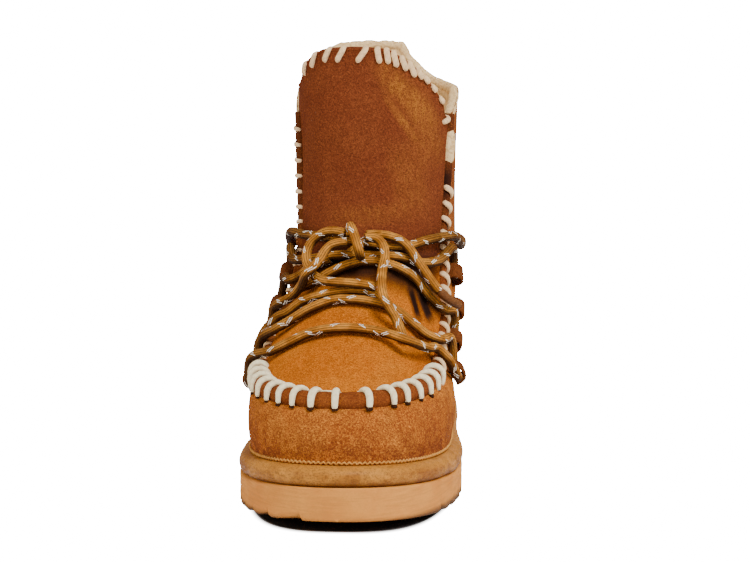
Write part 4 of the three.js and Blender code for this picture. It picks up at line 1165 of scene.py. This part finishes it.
# The crossings: the loop and its end on the inner side, the outer side's loop and its end, and the
# points over the front
BARS = [
    ((0, -1), (0, -1), [
        (-36.5, 69.5, 0.5), (-29, 74), (-18.5, 79), (-6.5, 81.5), (4.5, 81.5),
        (16, 78.5, 1.5), (24.5, 72.5, 5.8), (33, 70.5, 2.8), (37, 69.8, 1.9),
    ]),
    ((0, 1), (0, 1), [
        (-36, 77, 1), (-30.5, 81.5), (-20.5, 88), (-9, 92.5), (2, 93),
        (11.5, 91.5), (18.5, 89), (26.5, 83), (33.5, 76.5, 0.5), (38.5, 72.8, 2),
    ]),
    ((1, -1), None, [
        (-36, 81, 1.5), (-32, 84.5), (-25, 90), (-15.5, 94), (-3.5, 96.5), (7.5, 96), (14.5, 92),
    ]),
    ((1, 1), None, [
        (-36, 86, 2), (-31, 90, 1), (-24.5, 94.5, 3), (-17, 96.5, 11.3), (-14, 99, 12.5),
        (-12, 103.7, 11), (-10.5, 108, 10.5), (-8.3, 110.8, 10.7), (-5, 112.2, 10.7), (-2.5, 112.6, 10.5),
    ]),
    (None, (1, 1), [
        (-26, 95, 1), (-21.5, 98), (-17, 101), (-9, 105.8), (-1.5, 108.8), (4, 109.8),
        (9.5, 109.6), (19, 107), (27.5, 101), (34, 92.5), (40, 85.5, 0.5),
    ]),
    ((2, 1), None, [
        (-31.5, 97, 2), (-28, 100.5), (-23, 104.5), (-18, 107.5), (-12.5, 110),
    ]),
    ((3, 1), (3, 1), [
        (-31, 107.5, 1.5), (-25, 109), (-17.5, 110.5), (-10, 112), (-3, 112.6),
        (3, 112.4), (9, 112.2), (20, 111.5), (29, 108.5), (35.5, 108, 1.5),
    ]),
    (None, None, [
        (-3, 112.6, 1), (0, 115.5, 0.6), (3, 118.5, 0.3), (6, 120, 0.2),
    ]),
]
# The turn round the ankle: its points over the front, and its heights at the sides and the back
WRAP_FRONT = [(-26, 120.5, 0.3), (-12, 120, 0.3), (4, 118, 0.3), (20, 116, 0.3), (32, 119)]
WRAP_MEDIAL = 120.5
WRAP_LATERAL = 119
WRAP_BACK = 111


def bar_route(inner, outer, rows):
    points = list(over_front(rows))
    if inner:
        points = into_loop(MEDIAL, *inner)[::-1] + points
    if outer:
        points += into_loop(LATERAL, *outer)
    return spline(points)


def wrap_route():
    shares = (0.5, 0.66, 0.8, 0.9, 0.97)
    outer = [round_shaft(LATERAL, share, WRAP_BACK) for share in (*shares, 1)]
    inner = [round_shaft(MEDIAL, share, WRAP_BACK) for share in shares[::-1]]
    front = list(over_front(WRAP_FRONT))
    points = front + [over_seam_at(LATERAL, WRAP_LATERAL)] + outer + inner
    return spline(points + [over_seam_at(MEDIAL, WRAP_MEDIAL), front[0]])


def rope(points, phase):
    """A braided cord: a tube every 0.8 mm along, with its ribs left to the material."""
    count = max(12, int(lengths_along(points)[-1] / 0.8))
    points, faces, uvs = round_tube(resample(points, count), LACE_DIAMETER / 2)
    uvs[:, 0] += phase
    return points, faces, uvs


routes = [bar_route(*bar) for bar in BARS] + [wrap_route()]
crossings = joined([rope(route, 37.0 * number) for number, route in enumerate(routes)])
mesh_piece("lace_crossings", crossings, lace_braid, "lace")

# The free cords' routes, as in the part's source
FREE_CORDS = {
    "bow_loop_medial": [
        (-4.1, 119.5, 6), (-6.4, 120.3, 6), (-9, 120.8, 6), (-12, 120.4, 6),
        (-15, 118.6, 6), (-17.8, 115.6, 6), (-19.5, 112, 6), (-20, 108.5, 6), (-19.5, 104.5, 6),
        (-18, 101, 5.8), (-15.5, 98.5, 5.6), (-12.5, 97.2, 5.4), (-9, 96.8, 5.4), (-5.5, 96.7, 5.4),
        (-2, 96.6, 5.4), (2, 96.3, 5.4), (6, 95.8, 5.4), (9.5, 95, 5.4),
    ],
    "lace_end_lateral": [
        (4.6, 118.8, 6), (7.5, 119.2, 5.8), (11.5, 119, 5.6), (15.5, 118, 5.6),
        (19, 115.8, 6), (22, 112.5, 5.6), (24.3, 108.5, 5.7), (26.5, 104.2, 6.2), (28.7, 100, 6.5),
        (31, 96, 6.8), (33.3, 92.5, 7), (35.8, 89.5, 7.3), (38.4, 87, 7.7), (41, 84.8, 8.2),
    ],
    "lace_end_front": [
        (4.4, 114.4, 10.6), (6.8, 115, 10.5), (9.1, 114.4, 10.2), (10.9, 112.5, 9.6),
        (11.9, 109.8, 8.9), (12.2, 106.5, 8.5), (11.5, 102, 9.5), (11, 97, 10.9), (11.3, 92, 10.6),
        (12.8, 88.2, 8.5), (15.2, 86, 6.4), (18.5, 83.5, 3.5), (21.5, 80.5, 1.2), (24.6, 76, -0.6),
    ],
    "lace_knot": [
        (-2.2, 118.4, 5.6), (-2.2, 120.4, 7), (-1.8, 121, 9.8), (-1.2, 119.6, 12.2),
        (-0.4, 117, 13.5), (0.5, 114, 13.8), (1.4, 111, 13.2), (2.1, 108.6, 11.2), (2.5, 107.8, 8.1),
        (2.5, 108.9, 5.2),
    ],
}
TIP_LENGTH = 15
free_routes = {name: spline(over_front(rows)) for name, rows in FREE_CORDS.items()}
whole = free_routes["lace_end_lateral"]
reach = lengths_along(whole)
free_routes["lace_end_lateral"] = whole[reach <= reach[-1] - TIP_LENGTH - GAP * 2]
tip_route = resample(whole[reach >= reach[-1] - TIP_LENGTH - 1.2], 40)
turn = np.linspace(0, 1, len(tip_route))
tip_radius = LACE_DIAMETER / 2 * (0.97 - 0.1 * turn) * np.clip((1 - turn) * 14 + 0.25, 0, 1) ** 0.5
tip = round_tube(tip_route, tip_radius)
lace_tip = mesh_piece("lace_tip", tip, tip_plastic, "lace_tip_lateral")
for number, (name, route) in enumerate(free_routes.items()):
    route = resample(route, int(lengths_along(route)[-1] / 0.8))
    piece = mesh_piece(name + "_rope", rope(route, 61.0 * number), lace_braid, name)

# The floor: a dark oblong of contact shade under the sole, given by half its width and length in
# metres, soon fades to ground that is as white as the backdrop
WHITE = 25
FLOOR_SHADE = (0.0495, 0.132)
bpy.ops.mesh.primitive_circle_add(vertices=96, radius=12, fill_type="NGON")
floor = bpy.context.object
floor.name = "floor"
paper = Shader("paper", 0.8, 0.1)
across, along = [
    paper.math("POWER", paper.math("ABSOLUTE", paper.times(paper.axis(name), 1 / half)), 3)
    for name, half in zip("XY", FLOOR_SHADE)
]
away = paper.math("ADD", across, along)
# light that only the camera sees keeps the ground white
glow = paper.times(paper.node("LightPath", {}, "Is Camera Ray"), paper.ramp(away, 1, 1.25, 0, WHITE))
paper.show((1, 1, 1), "Emission Color")
paper.show(glow, "Emission Strength")
mottled = (0.9, 0.9, 0.9), paper.ramp(paper.noise(400, 2, 0.55), 0.3, 0.7)
shaded = (0.025, 0.02, 0.02), paper.ramp(away, 0.95, 1.1, 1, 0)
paper.show(paper.layered((0.88, 0.88, 0.88), mottled, shaded))
floor.data.materials.append(paper.material)

# Light: name, place, size, power and colour of each area, and what comes from all round
AMBIENT = 0.27
WARM = (1, 0.86, 0.7)
for name, place, size, power, colour in (
    ("key", (0.75, -1.2, 1.7), 0.7, 48, (1, 1, 1)),
    ("fill", (-1.5, -0.7, 0.7), 1.2, 19, WARM),
    ("fill_lateral", (1.6, -0.5, 0.6), 1.2, 14, WARM),
    ("back", (0.2, 1.4, 1.5), 1.2, 12, WARM),
):
    light = bpy.data.lights.new(name, "AREA")
    light.size = size
    light.energy = power
    light.color = colour
    lamp = bpy.data.objects.new(name, light)
    lamp.location = place
    lamp.rotation_euler = (Vector((0, 0, 0.1)) - Vector(place)).to_track_quat("-Z", "Y").to_euler()
    bpy.context.scene.collection.objects.link(lamp)
world = bpy.data.worlds.new("studio")
world.use_nodes = True
nodes, links = world.node_tree.nodes, world.node_tree.links
level = nodes.new("ShaderNodeMapRange")
level.inputs["To Min"].default_value = AMBIENT
level.inputs["To Max"].default_value = WHITE
links.new(nodes.new("ShaderNodeLightPath").outputs["Is Camera Ray"], level.inputs["Value"])
links.new(level.outputs[0], nodes["Background"].inputs["Strength"])
nodes["Background"].inputs["Color"].default_value = (1, 1, 1, 1)
bpy.context.scene.world = world

# The camera stands a little to the outer side and looks slightly down
AZIMUTH = math.radians(4)
ELEVATION = math.radians(8)
DISTANCE = 1.5
AIM = Vector((0.008, 0, 0.1))
camera = bpy.data.objects.new("camera", bpy.data.cameras.new("camera"))
level_part = math.cos(ELEVATION)
away = Vector((math.sin(AZIMUTH) * level_part, -math.cos(AZIMUTH) * level_part, math.sin(ELEVATION)))
camera.location = AIM + away * DISTANCE
camera.rotation_euler = away.to_track_quat("Z", "Y").to_euler()
camera.data.sensor_width = 36
camera.data.lens = 142.08
camera.data.clip_start = 0.1
camera.data.clip_end = 60
bpy.context.scene.collection.objects.link(camera)
bpy.context.scene.camera = camera
